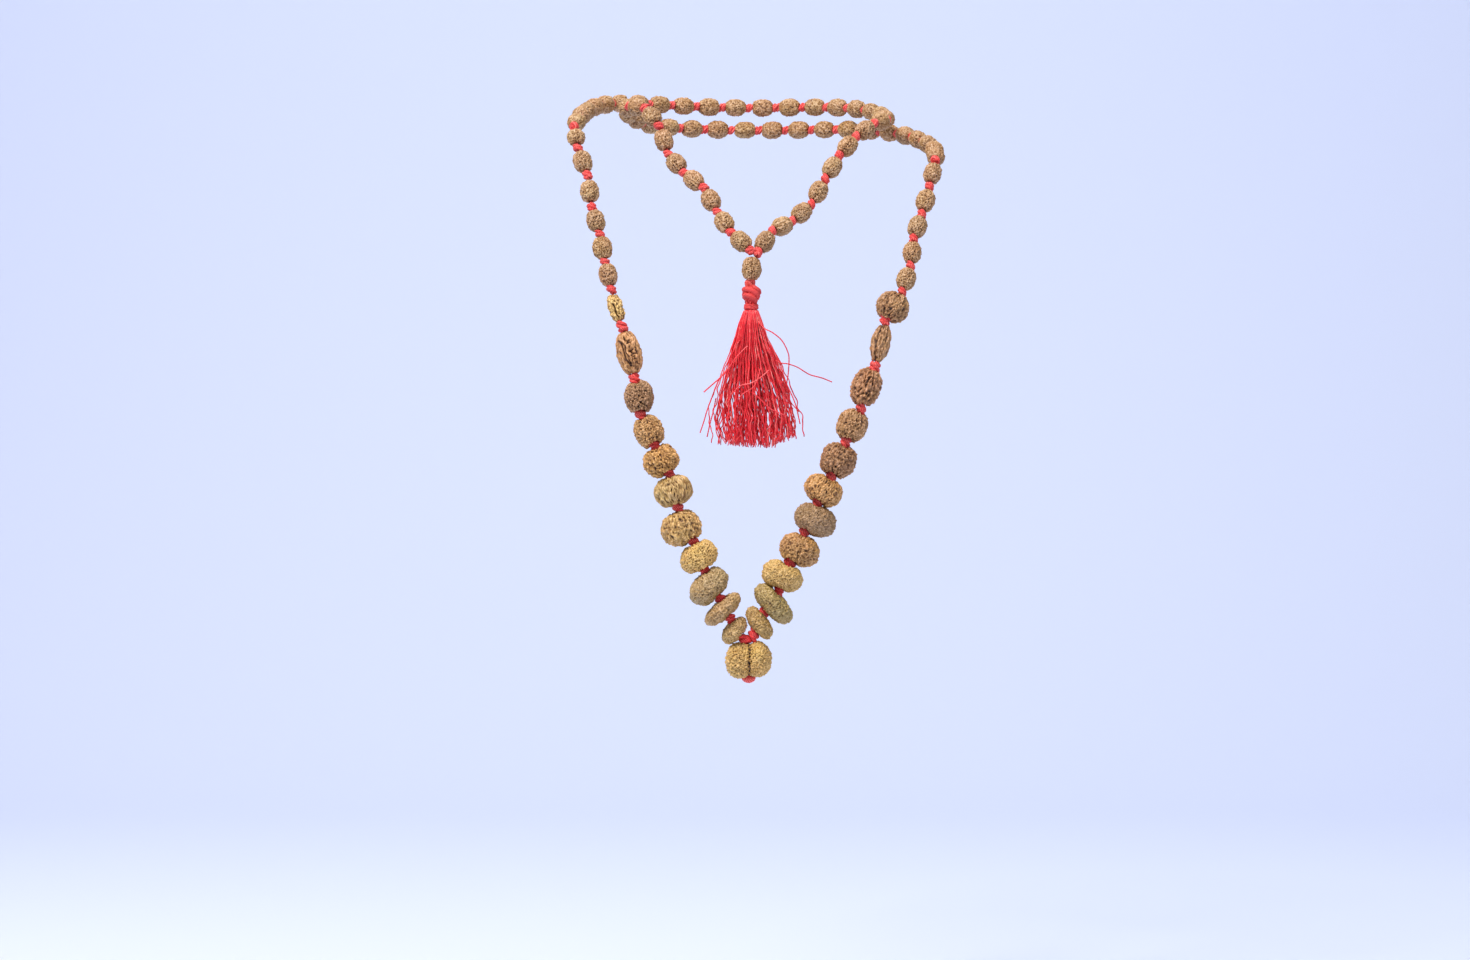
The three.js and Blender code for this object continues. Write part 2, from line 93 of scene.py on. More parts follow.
RIGHT_LARGE = [
    (67.61, -121.00, -91.51), (60.03, -123.00, -103.97), (55.37, -124.50, -125.38), (49.05, -125.00, -143.85),
    (42.21, -125.00, -159.15), (35.68, -125.00, -174.54), (29.61, -125.00, -186.51), (23.49, -125.00, -199.60),
    (17.05, -125.00, -213.56), (11.79, -125.00, -226.29), (5.40, -125.00, -235.65), (0.72, -125.00, -245.82),
]
INNER_LEFT = [
    (-49.41, -75.00, -3.36), (-42.87, -82.50, -12.44), (-38.16, -88.50, -26.35), (-31.05, -95.50, -35.29),
    (-21.81, -102.00, -42.84), (-15.57, -107.50, -54.56), (-9.42, -113.00, -63.94), (-0.51, -118.00, -72.54),
]
INNER_RIGHT = [
    (56.77, -74.50, -10.38), (48.34, -82.50, -17.53), (40.26, -89.50, -26.95), (33.86, -94.50, -38.18),
    (27.15, -98.50, -50.18), (18.35, -104.50, -58.29), (9.15, -111.50, -63.33), (2.61, -118.00, -73.44),
]
SMALL_WIDTH, SMALL_LENGTH = 8.4, 10.2
KNOT, LOW_KNOT, CLEAR = 2.0, 2.3, 0.42
GURU_CENTRE, GURU_WIDTH, GURU_LENGTH = tuple(map(float, box("guru_bead")[2])), 8.8, 10.5
BOTTOM_CENTRE = tuple(map(float, box("bottom_double_seed")[2]))
TIE_KNOT = (*map(float, box("bottom_tie_cord")[2][:2]), float(box("bottom_tie_cord")[0][2]) + 1.73)
PENDANT = tuple(map(float, box("tassel_skirt")[2][:2]))
BALL_RADIUS, BALL_Z = 4.1, float(box("tassel_ball_knot")[2][2]) - 0.15
BINDING_RADIUS, BINDING_TOP, BINDING_HEIGHT = 3.3, float(box("tassel_binding")[1][2]), 2.6
SKIRT_TOP = float(box("tassel_skirt")[1][2])
SKIRT = np.array([
    (0, 3.3, 1.0), (6.3, 5.7, 0.95), (15.8, 8.6, 0.82), (25.2, 11.5, 0.72), (37.8, 15.8, 0.62), (50.4, 19.2, 0.58),
    (62.8, 19.8, 0.58),
])


def check_knots():
    """Every turning seed's axis in the frame must run through the two knots given for it above."""
    turning = {j["name"]: j for j in frame["joints"] if j["name"].startswith("spin_")}
    runs = [(f"{side}_seed_{{:02d}}", knots) for side, knots in (("left", LEFT_LARGE), ("right", RIGHT_LARGE))]
    runs += [(f"inner_{side}_seed_{{}}", knots) for side, knots in (("left", INNER_LEFT), ("right", INNER_RIGHT))]
    worst, count = 0.0, 0
    for name, knots in runs:
        for k in range(len(knots) - 1):
            joint = turning.get("spin_" + name.format(k + 1))
            if joint is None:
                continue
            at, axis = np.array(joint["pos_m"], float) / MM, np.array(joint["axis"], float)
            axis /= np.linalg.norm(axis)
            for knot in (knots[k], knots[k + 1]):
                off = np.array(knot) - at
                worst = max(worst, float(np.linalg.norm(off - (off @ axis) * axis)))
            count += 1
    for node, knots in (("back_strand_upper", BACK_UPPER), ("back_strand_lower", BACK_LOWER),
                        ("outer_upper_left_run", OUTER_LEFT), ("outer_upper_right_run", OUTER_RIGHT)):
        low, high, _ = box(node)
        for knot in knots[1:-1]:
            if np.any(np.array(knot) < low - 0.5) or np.any(np.array(knot) > high + 0.5):
                raise SystemExit(f"a knot at {knot} lies outside {node} in the frame")
    print(f"knots checked against {count} of {len(turning)} turning seeds in the frame, worst {worst:.3f} mm")
    if count == 0 or worst > 0.3:
        raise SystemExit("the knots don't lie on the frame's seed axes")


check_knots()


# ------------------------------------------------------------------------------------------------ seeded noise
def lattice(i, j, k, seed):
    m = np.int64(0xFFFFFFFF)
    h = (
        ((i & m).astype(np.uint32) * np.uint32(0x8DA6B343))
        ^ ((j & m).astype(np.uint32) * np.uint32(0xD8163841))
        ^ ((k & m).astype(np.uint32) * np.uint32(0xCB1AB31F))
        ^ np.uint32((seed * 0x9E3779B1 + 0x7F4A7C15) & 0xFFFFFFFF)
    )
    h ^= h >> np.uint32(15)
    h *= np.uint32(0x2C1B3C6D)
    h ^= h >> np.uint32(12)
    h *= np.uint32(0x297A2D39)
    h ^= h >> np.uint32(15)
    return h


GRADIENTS = np.array(
    [
        (1, 1, 0), (-1, 1, 0), (1, -1, 0), (-1, -1, 0), (1, 0, 1), (-1, 0, 1), (1, 0, -1), (-1, 0, -1),
        (0, 1, 1), (0, -1, 1), (0, 1, -1), (0, -1, -1), (1, 1, 0), (-1, 1, 0), (0, -1, 1), (0, -1, -1),
    ],
    float,
)


def noise(p, seed):
    """Gradient noise at the points p, about -0.9 to 0.9."""
    i = np.floor(p).astype(np.int64)
    f = p - i
    u = f * f * f * (f * (f * 6 - 15) + 10)
    total = np.zeros(len(p))
    for dx in (0, 1):
        wx = u[:, 0] if dx else 1 - u[:, 0]
        for dy in (0, 1):
            wy = u[:, 1] if dy else 1 - u[:, 1]
            for dz in (0, 1):
                wz = u[:, 2] if dz else 1 - u[:, 2]
                g = GRADIENTS[lattice(i[:, 0] + dx, i[:, 1] + dy, i[:, 2] + dz, seed) & np.uint32(15)]
                d = g[:, 0] * (f[:, 0] - dx) + g[:, 1] * (f[:, 1] - dy) + g[:, 2] * (f[:, 2] - dz)
                total += wx * wy * wz * d
    return total


def cells(p, seed):
    """Distances from p to the nearest and second nearest of points strewn one to a unit cell."""
    i = np.floor(p).astype(np.int64)
    f = p - i
    d1 = np.full(len(p), 9.0)
    d2 = np.full(len(p), 9.0)
    for dx in (-1, 0, 1):
        for dy in (-1, 0, 1):
            for dz in (-1, 0, 1):
                h = lattice(i[:, 0] + dx, i[:, 1] + dy, i[:, 2] + dz, seed)
                jx = (h & np.uint32(1023)).astype(float) / 1023
                jy = ((h >> np.uint32(10)) & np.uint32(1023)).astype(float) / 1023
                jz = ((h >> np.uint32(20)) & np.uint32(1023)).astype(float) / 1023
                d = (dx + jx - f[:, 0]) ** 2 + (dy + jy - f[:, 1]) ** 2 + (dz + jz - f[:, 2]) ** 2
                d2 = np.minimum(d2, np.maximum(d1, d))
                d1 = np.minimum(d1, d)
    return np.sqrt(d1), np.sqrt(d2)


def step(a, b, x):
    t = np.clip((x - a) / (b - a), 0, 1)
    return t * t * (3 - 2 * t)


def warp(q, f, seed, amount):
    if not amount:
        return q
    return q + amount * np.stack([noise(q * f, seed + 11), noise(q * f, seed + 12), noise(q * f, seed + 13)], 1)


# ------------------------------------------------------------------------------------------------ meshes from arrays
class Parts:
    """Points, four-sided faces and three-sided faces of several closed shells, gathered into one mesh."""

    def __init__(self):
        self.v, self.q, self.t, self.n = [], [], [], 0
        self.a = {}

    def add(self, v, quads=None, tris=None, **attributes):
        if quads is not None and len(quads):
            self.q.append(np.asarray(quads) + self.n)
        if tris is not None and len(tris):
            self.t.append(np.asarray(tris) + self.n)
        self.v.append(v)
        for k in set(self.a) | set(attributes):
            row = attributes.get(k, 0.0)
            row = np.full(len(v), row, float) if np.isscalar(row) else np.asarray(row, float)
            self.a.setdefault(k, [np.zeros(self.n)] if self.n else []).append(row)
        self.n += len(v)

    def build(self, name, material, body, slot, nodes=(), smooth=True):
        v = np.concatenate(self.v)
        q = np.concatenate(self.q) if self.q else np.zeros((0, 4), int)
        t = np.concatenate(self.t) if self.t else np.zeros((0, 3), int)
        mesh = bpy.data.meshes.new(name)
        mesh.vertices.add(len(v))
        mesh.vertices.foreach_set("co", (v * MM).astype(np.float32).ravel())
        mesh.loops.add(q.size + t.size)
        mesh.loops.foreach_set("vertex_index", np.concatenate([q.ravel(), t.ravel()]).astype(np.int32))
        mesh.polygons.add(len(q) + len(t))
        starts = np.concatenate([np.arange(len(q)) * 4, q.size + np.arange(len(t)) * 3]).astype(np.int32)
        mesh.polygons.foreach_set("loop_start", starts)
        mesh.update(calc_edges=True)
        mesh.polygons.foreach_set("use_smooth", np.full(len(q) + len(t), smooth))
        for k, rows in self.a.items():
            mesh.attributes.new(k, "FLOAT", "POINT").data.foreach_set("value", np.concatenate(rows).astype(np.float32))
        mesh.validate()
        mesh.update()
        mesh.materials.append(material)
        o = bpy.data.objects.new(name, mesh)
        bpy.context.scene.collection.objects.link(o)
        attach(o, body)
        if nodes:
            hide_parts(*nodes)
        return o


def ring_faces(rows, cols, closed_rows):
    i = np.arange(rows if closed_rows else rows - 1)
    j = np.arange(cols)
    i, j = np.meshgrid(i, j, indexing="ij")
    i2, j2 = (i + 1) % rows, (j + 1) % cols
    return np.stack([i * cols + j, i * cols + j2, i2 * cols + j2, i2 * cols + j], -1).reshape(-1, 4)


def outward(v, quads):
    """The same faces, turned round if they point in."""
    a, b, c, d = (v[quads[:, k]] for k in range(4))
    volume = (np.cross(a, b) * c).sum() + (np.cross(a, c) * d).sum()
    return quads if volume > 0 else quads[:, ::-1]


# ------------------------------------------------------------------------------------------------ seeds
def axes_of(a, b):
    """The frame of what lies between two knots: x across in the loop's plane, y along the string, z front to back."""
    a, b = np.array(a, float), np.array(b, float)
    u = (b - a) / np.linalg.norm(b - a)
    x = np.cross(u, (0.0, 1.0, 0.0))
    if np.linalg.norm(x) < 0.2:
        x = np.cross(u, (0.0, 0.0, 1.0))
    x /= np.linalg.norm(x)
    return np.stack([x, u, np.cross(x, u)], 1), (a + b) / 2, float(np.linalg.norm(b - a))


def surface(directions, inside, high):
    """How far from the middle, along each direction, the body's surface lies. inside(points) is below 0 inside."""
    lo, hi = np.zeros(len(directions)), np.full(len(directions), high)
    for _ in range(20):
        mid = (lo + hi) / 2
        out = inside(directions * mid[:, None]) > 0
        hi = np.where(out, mid, hi)
        lo = np.where(out, lo, mid)
    return (lo + hi) / 2


def soft_min(a, b, k=0.3):
    return -k * np.log(np.exp(np.clip(-a / k, -60, 60)) + np.exp(np.clip(-b / k, -60, 60)))


def nest(directions, centre, radius):
    """Distance along each direction at which it enters a sphere round a knot, or far away where it never does."""
    b = directions @ centre
    q = b * b - centre @ centre + radius * radius
    t = b - np.sqrt(np.maximum(q, 0))
    return np.where((q > 0) & (t > 0), t, 90.0)


def relief(p, own, R, kind, seed):
    """How far each point of a seed's surface is pushed out (mm), and how high it lies in the relief, 0 to 1, which the
    seed's colour follows: pits and furrows are pressed low in it as painted shade, furrow lips and swellings raised as
    painted highlight.
    """
    f, stretch, amp = kind["f"], kind.get("stretch", 0.7), kind["amp"]
    across = np.hypot(own[:, 0], own[:, 2]) + 1e-9
    squeeze = kind.get("converge", 0.45)
    scale = (1 - squeeze) + squeeze * R / across * 1.0
    scale = np.minimum(scale, 2.2)
    q = np.stack([own[:, 0] * scale, own[:, 1] * stretch, own[:, 2] * scale], 1)
    q = warp(q, 0.5 * f, seed, kind.get("warp", 0.9) / f * 0.42)
    w = kind.get("ridge", 0.2)
    # holes at strewn points with ridges between them, winding ridges, and a beady grain over both
    c1, c2 = cells(q * f * 0.98, seed + 20)
    net = step(0.42, 0.13, c2 - c1)
    bumps = step(0.0, 0.3, c2 - c1)
    n1 = noise(q * f * 1.12, seed)
    n2 = noise(q * f * 1.9 + 7.7, seed + 1)
    h1 = 1 - (1 - np.clip(1.1 - np.abs(n1) / (1.9 * w), 0, 1)) ** 1.8
    h2 = 1 - (1 - np.clip(1.15 - np.abs(n2) / (2.0 * w), 0, 1)) ** 1.6
    fine = kind.get("fine", 0.38)
    worm = (1 - fine) * h1 + fine * h2
    share = kind.get("net", 0.5)
    bumpy = kind.get("bumpy", 0.25)
    h = share * ((1 - bumpy) * net + bumpy * bumps) + (1 - share) * worm
    c3, _ = cells(q * f * 1.9 + 9.1, seed + 21)
    bead = 1 - np.clip(c3 / 0.66, 0, 1) ** 2
    uneven = noise(q * f * 0.5 + 2.2, seed + 8)
    h = 0.02 + 0.98 * h * (1 + 0.16 * uneven) + kind.get("beads", 0.34) * (bead - 0.45)
    h = np.clip(h, 0, 1.25)
    smooth_side = kind.get("smooth")
    if smooth_side:
        s = step(smooth_side[0], smooth_side[0] + 2.0, own[:, 0] * smooth_side[1]) * (own[:, 2] < 3.0)
        h = h * (1 - 0.45 * s) + 0.45 * s * (0.72 + 0.25 * noise(q * f * 0.8, seed + 9))
    knobs = noise(q * f * 0.95 + 3.3, seed + 12)
    d = amp * (h - 0.62) + kind.get("knobs", 0.5) * knobs
    # deep round pits, in clusters, also painted darker as shade
    pits = kind.get("pits", 0)
    if pits:
        c1, _ = cells(q * f * kind.get("pit_f", 0.62) + 3.1, seed + 3)
        where = step(0.05, 0.3, noise(p * 0.16, seed + 4) + 0.18)
        pit = (1 - step(0.10, 0.34, c1)) * where
        d = d - pits * pit
        h = h * (1 - 0.85 * pit)
    # furrows from pole to pole, which part the seed into its faces; each furrow is painted darker as shade and its lips
    # lighter as painted highlight
    count = kind.get("faces", 0)
    if count:
        angle = np.arctan2(own[:, 2], own[:, 0]) + kind.get("turn", 0.0)
        wander = 0.16 * noise(own * 0.35, seed + 5) + 0.05 * noise(own * 1.1, seed + 6)
        gap = (angle + wander) * count / (2 * math.pi)
        gap = np.abs(gap - np.round(gap)) * (2 * math.pi / count) * across
        line = np.exp(-((gap / kind.get("face_w", 0.34)) ** 2))
        lips = np.exp(-(((gap - 0.95) / 0.5) ** 2))
        depth = kind.get("face_d", 0.35)
        d = d - depth * line + 0.3 * depth * lips
        h = np.clip(h * (1 - min(0.75, 2.4 * depth) * line) + 0.25 * depth * lips, 0, 1.2)
    # single furrows and swellings on the front face: (x0, y0, x1, y1, half width, depth) and (x, y, rx, ry, height);
    # the furrows are painted darker as shade and the swellings lighter as painted highlight
    front = step(0.2, -0.6, own[:, 2])
    for x0, y0, x1, y1, width, depth in kind.get("furrows", ()):
        e = np.array([x1 - x0, y1 - y0])
        t = np.clip(((own[:, 0] - x0) * e[0] + (own[:, 1] - y0) * e[1]) / (e @ e), 0, 1)
        bow = 0.35 * np.sin(t * math.pi * 2.2)
        gap = np.hypot(own[:, 0] - x0 - t * e[0] - bow, own[:, 1] - y0 - t * e[1])
        line = np.exp(-((gap / width) ** 2)) * front
        d = d - depth * line
        h = h * (1 - 0.9 * line)
    for x0, y0, rx, ry, height in kind.get("swells", ()):
        g = np.exp(-(((own[:, 0] - x0) / rx) ** 2 + ((own[:, 1] - y0) / ry) ** 2)) * front
        d = d + height * g
        h = np.clip(h + 0.1 * g, 0, 1.2)
    d = d + kind.get("lump", 0.25) * noise(p * 0.21 + 5.3, seed + 7) * 1.6
    # pale lifts the lowest h, so the painted shade in the pits comes out weaker
    pale = kind.get("pale", 0.0)
    return d, pale + (1 - pale) * np.clip(h, 0, 1)


def seed_points(width, length, chord, radii, kind, seed, cols, rows, along=0.0, aside=0.0, tilt=0.0, bore=1.0):
    """A seed on its bore, in its own frame, with how high each point lies in the relief."""
    trim = 0.4 * kind["amp"]
    R, half = width / 2 - trim * 0.5, length / 2 * kind.get("long", 1.03) - trim * 0.3
    tilt = tilt + kind.get("lean", 0.0)
    c, s = math.cos(math.radians(tilt)), math.sin(math.radians(tilt))
    middle = np.array([0.0, along, 0.0])
    ey, er = kind.get("ey", 2.35), kind.get("er", 2.2)

    def own_of(p):
        x, y, z = p[:, 0] - aside, p[:, 1] - along, p[:, 2]
        return np.stack([x * c + y * s, -x * s + y * c, z], 1)

    def inside(p):
        o = own_of(p + middle)
        return (np.hypot(o[:, 0], o[:, 2]) / R) ** er + (np.abs(o[:, 1]) / half) ** ey - 1

    # rows an equal way apart over the surface, from bore to bore
    t = np.linspace(0.0, math.pi, 500)
    around = np.stack([np.sin(t), np.cos(t), np.zeros(500)], 1)
    rho = surface(around, lambda p: (np.abs(p[:, 0]) / R) ** er + (np.abs(p[:, 1]) / half) ** ey - 1, width + length)
    line = around * rho[:, None]
    arc = np.concatenate([[0], np.cumsum(np.linalg.norm(np.diff(line, axis=0), axis=1))])
    start = bore
    theta = np.interp(np.linspace(start, arc[-1] - start, rows), arc, t)
    phi = np.arange(cols) * 2 * math.pi / cols
    T, F = np.meshgrid(theta, phi, indexing="ij")
    D = np.stack([np.sin(T) * np.cos(F), np.cos(T), np.sin(T) * np.sin(F)], -1).reshape(-1, 3)
    rho = surface(D, inside, width + length)
    for y, r in ((-chord / 2, radii[0]), (chord / 2, radii[1])):
        rho = soft_min(rho, nest(D, np.array([0.0, y, 0.0]) - middle, r + CLEAR + kind.get("nest", 0.12)),
                       kind.get("nest_soft", 0.25))
        if kind.get("open"):  # the hollow round the bore lies open at the front
            rho = soft_min(rho, nest(D, np.array([0.0, y, -2.0]) - middle, r + CLEAR + kind["open"]), 0.3)
    P = D * rho[:, None] + middle
    G = P.reshape(rows, cols, 3)
    dr = np.gradient(G, axis=0)
    dc = np.roll(G, -1, 1) - np.roll(G, 1, 1)
    N = np.cross(dr, dc).reshape(-1, 3)
    N /= np.linalg.norm(N, axis=1)[:, None] + 1e-12
    N *= np.sign((N * D).sum(1))[:, None]
    away = np.hypot(P[:, 0], P[:, 2])
    calm = step(bore, bore + 1.3, away)
    d, h = relief(P, own_of(P), R, kind, seed)
    P = P + N * (d * (0.25 + 0.75 * calm))[:, None]
    G = P.reshape(rows, cols, 3)
    # the bore: the first and last rows lie on it, and two more rows run through the seed
    rim = np.stack([bore * np.cos(phi), np.zeros(cols), bore * np.sin(phi)], 1)
    for k, inner in ((0, 1), (rows - 1, rows - 2)):
        G[k] = rim + np.array([0, 1, 0]) * G[k][:, 1].mean()
    low, high = G[rows - 1, 0, 1], G[0, 0, 1]
    tube = [rim + np.array([0, low + (high - low) * k, 0]) for k in (0.04, 0.96)]
    P = np.concatenate([P, *tube])
    # darker near the mouth of the bore and dark along its lining: painted shade in the hollow where the knot sits
    h = np.concatenate([h * (0.5 + 0.5 * calm), np.full(2 * cols, 0.15)])
    quads = ring_faces(rows + 2, cols, True)
    return P, outward(P, quads), h


def add_seed(parts, a, b, width, length, kind, seed, cols, rows, radii=(KNOT, KNOT), **spec):
    M, middle, chord = axes_of(a, b)
    P, quads, h = seed_points(width, length, chord, radii, kind, seed, cols, rows, **spec)
    tone = (lattice(np.array([seed]), np.array([7]), np.array([3]), 5) & np.uint32(1023)).astype(float)[0] / 1023
    parts.add(P @ M.T + middle, quads, None, h=h, tone=tone)


# ------------------------------------------------------------------------------------------------ thread and cord
def sweep(parts, paths, radius, sides=10, plies=3, ply=0.16, pitch=2.0, phase=0.0, tone=0.0, flat=None, taper=0.0):
    """Closed tubes along paths (m, n, 3). The section is lobed like plied thread, and turns along the path."""
    paths = np.asarray(paths, float)
    if paths.ndim == 2:
        paths = paths[None]
    m, n, _ = paths.shape
    T = np.gradient(paths, axis=1)
    T /= np.linalg.norm(T, axis=2)[:, :, None] + 1e-12
    s = np.concatenate([np.zeros((m, 1)), np.cumsum(np.linalg.norm(np.diff(paths, axis=1), axis=2), 1)], 1)
    ref = np.where(np.abs(T[:, 0, 2:3]) < 0.8, np.array([[0.0, 0, 1]]), np.array([[1.0, 0, 0]]))
    N = np.cross(T[:, 0], ref)
    N /= np.linalg.norm(N, axis=1)[:, None]
    normals = np.empty_like(paths)
    normals[:, 0] = N
    for k in range(1, n):
        N = N - (N * T[:, k]).sum(1)[:, None] * T[:, k]
        N /= np.linalg.norm(N, axis=1)[:, None] + 1e-12
        normals[:, k] = N
    B = np.cross(T, normals)
    radius = np.broadcast_to(np.asarray(radius, float), (m, n)).copy()
    phase = np.broadcast_to(np.asarray(phase, float).reshape(-1, 1) if np.ndim(phase) else phase, (m, 1))
    ang = np.arange(sides) * 2 * math.pi / sides
    a = ang[None, None, :] - (2 * math.pi * s / pitch + phase)[:, :, None]
    lobe = np.abs(np.cos(plies * a / 2)) if plies else np.ones_like(a)
    r = radius[:, :, None] * (1 - ply * (1 - lobe))
    if flat is not None:  # a flattened section that turns with the twist
        r = r * (1 - flat * np.abs(np.sin(a)))
    P = (
        paths[:, :, None, :]
        + (r * np.cos(ang))[..., None] * normals[:, :, None, :]
        + (r * np.sin(ang))[..., None] * B[:, :, None, :]
    )
    quads = ring_faces(n, sides, False)
    for k in range(m):
        v = P[k].reshape(-1, 3)
        v = np.concatenate([v, paths[k, :1], paths[k, -1:]])
        first, last = n * sides, n * sides + 1
        j = np.arange(sides)
        cap = np.concatenate([
            np.stack([np.full(sides, first), (j + 1) % sides, j], 1),
            np.stack([np.full(sides, last), (n - 1) * sides + j, (n - 1) * sides + (j + 1) % sides], 1),
        ])
        # h follows the ply lobes: the materials paint the grooves between the plies darker as shade and the lobe tops
        # lighter as highlight
        h = np.concatenate([lobe[k].ravel(), [0.5, 0.5]])
        tk = tone if np.isscalar(tone) else tone[k]
        parts.add(v, quads, cap, h=h, tone=tk)


def smooth_path(points, count):
    """A smooth curve through the points, sampled evenly."""
    p = np.array(points, float)
    p = np.concatenate([[2 * p[0] - p[1]], p, [2 * p[-1] - p[-2]]])
    out = []
    for k in range(1, len(p) - 2):
        t = np.linspace(0, 1, 24, endpoint=False)[:, None]
        a, b, c, d = p[k - 1], p[k], p[k + 1], p[k + 2]
        out.append(0.5 * (2 * b + (c - a) * t + (2 * a - 5 * b + 4 * c - d) * t**2 + (3 * b - a - 3 * c + d) * t**3))
    out.append(p[-2][None])
    q = np.concatenate(out)
    s = np.concatenate([[0], np.cumsum(np.linalg.norm(np.diff(q, axis=0), axis=1))])
    x = np.linspace(0, s[-1], count)
    return np.stack([np.interp(x, s, q[:, k]) for k in range(3)], 1)


def knot_between(parts, at, u, radius, seed, steps=64, sides=10, long=1.0):
    """An overhand knot pulled tight: the cord comes in along u, winds round itself and crosses over its own turns."""
    u = np.array(u, float) / np.linalg.norm(u)
    x = np.cross(u, (0.0, 1.0, 0.0))
    if np.linalg.norm(x) < 0.2:
        x = np.cross(u, (0.0, 0.0, 1.0))
    x /= np.linalg.norm(x)
    z = np.cross(x, u)
    rng = np.random.default_rng(1000 + seed)
    turn0 = rng.uniform(0, 2 * math.pi)
    tone = rng.uniform(0, 1)
    radius = radius * 1.1
    thread = 0.36 * radius
    wrap = radius - thread * 0.98
    reach = radius * 0.9 * long
    t = np.linspace(0, 1, steps)
    bulge = step(0.0, 0.15, t) * step(1.0, 0.85, t)
    for turns, rise, r, hand, shift in ((2.3, 0.92, wrap, 1, 0.0), (1.0, 0.5, wrap * 1.1, -1, 1.2)):
        angle = turn0 + shift + hand * 2 * math.pi * turns * t
        y = reach * rise * (2 * t - 1) + 0.3 * radius * np.cos(angle) * bulge
        rr = r * (0.25 + 0.75 * bulge)
        path = np.array(at) + np.outer(rr * np.cos(angle), x) + np.outer(rr * np.sin(angle), z) + np.outer(y, u)
        sweep(parts, path, thread, sides=sides, plies=3, ply=0.17, pitch=1.9, phase=turn0, tone=tone)
    core = np.array(at) + np.outer(np.linspace(-reach * 0.8, reach * 0.8, 8), u)
    sweep(parts, core, np.array([[0.5, 0.62, 0.7, 0.74, 0.74, 0.7, 0.62, 0.5]]) * radius * 0.9, sides=sides, ply=0.0,
          tone=tone)


def strand(parts, points, spacing=1.5, radius=0.6, sides=9):
    p = np.array(points, float)
    s = np.concatenate([[0], np.cumsum(np.linalg.norm(np.diff(p, axis=0), axis=1))])
    x = np.linspace(0, s[-1], max(4, int(s[-1] / spacing)))
    path = np.stack([np.interp(x, s, p[:, k]) for k in range(3)], 1)
    sweep(parts, path, radius, sides=sides, plies=3, ply=0.18, pitch=2.4, tone=0.5)


def direction_at(points, i):
    p = np.array(points, float)
    a, b = p[max(0, i - 1)], p[min(len(p) - 1, i + 1)]
    return b - a


# ------------------------------------------------------------------------------------------------ materials
def rgb(r, g, b):
    """sRGB, 0 to 255, as the shader wants it."""
    def f(c):
        c /= 255
        return c / 12.92 if c <= 0.04045 else ((c + 0.055) / 1.055) ** 2.4
    return (f(r), f(g), f(b), 1.0)


class Nodes:
    def __init__(self, name):
        self.material = bpy.data.materials.new(name)
        self.material.use_nodes = True
        self.tree = self.material.node_tree
        self.tree.nodes.clear()
        self.out = self.new("ShaderNodeOutputMaterial")
        self.shader = self.new("ShaderNodeBsdfPrincipled")
        self.link(self.shader.outputs[0], self.out.inputs[0])

    def new(self, kind, **values):
        n = self.tree.nodes.new(kind)
        for k, v in values.items():
            setattr(n, k, v)
        return n

    def link(self, a, b):
        self.tree.links.new(a, b)

    def attribute(self, name):
        return self.new("ShaderNodeAttribute", attribute_name=name).outputs["Fac"]

    def place(self):
        return self.new("ShaderNodeTexCoord").outputs["Object"]

    def noise(self, scale, detail=2.0, rough=0.5, at=None, distortion=0.0):
        n = self.new("ShaderNodeTexNoise")
        n.inputs["Scale"].default_value = scale
        n.inputs["Detail"].default_value = detail
        n.inputs["Roughness"].default_value = rough
        n.inputs["Distortion"].default_value = distortion
        self.link(at or self.place(), n.inputs["Vector"])
        return n.outputs["Fac"]

    def math(self, operation, a, b=0.0, c=0.0, clamp=False):
        n = self.new("ShaderNodeMath", operation=operation, use_clamp=clamp)
        for k, v in enumerate((a, b, c)):
            if isinstance(v, (int, float)):
                n.inputs[k].default_value = v
            else:
                self.link(v, n.inputs[k])
        return n.outputs[0]

    def ramp(self, value, stops, smooth=False):
        n = self.new("ShaderNodeValToRGB")
        r = n.color_ramp
        r.interpolation = "EASE" if smooth else "LINEAR"
        while len(r.elements) > 1:
            r.elements.remove(r.elements[-1])
        r.elements[0].position, r.elements[0].color = stops[0]
        for position, colour in stops[1:]:
            e = r.elements.new(position)
            e.color = colour
        self.link(value, n.inputs[0])
        return n.outputs[0]

    def mix(self, factor, a, b, how="MIX"):
        n = self.new("ShaderNodeMix", data_type="RGBA", blend_type=how)
        for socket, v in ((n.inputs[0], factor), (n.inputs[6], a), (n.inputs[7], b)):
            if isinstance(v, (int, float)):
                socket.default_value = v
            elif isinstance(v, tuple):
                socket.default_value = v
            else:
                self.link(v, socket)
        return n.outputs[2]

    def bump(self, height, strength, distance):
        n = self.new("ShaderNodeBump")
        n.inputs["Strength"].default_value = strength
        n.inputs["Distance"].default_value = distance
        self.link(height, n.inputs["Height"])
        self.link(n.outputs[0], self.shader.inputs["Normal"])

    def set(self, **values):
        for k, v in values.items():
            self.shader.inputs[k.replace("_", " ")].default_value = v


def shade(c, k):
    return tuple(min(255.0, v * k) for v in c)


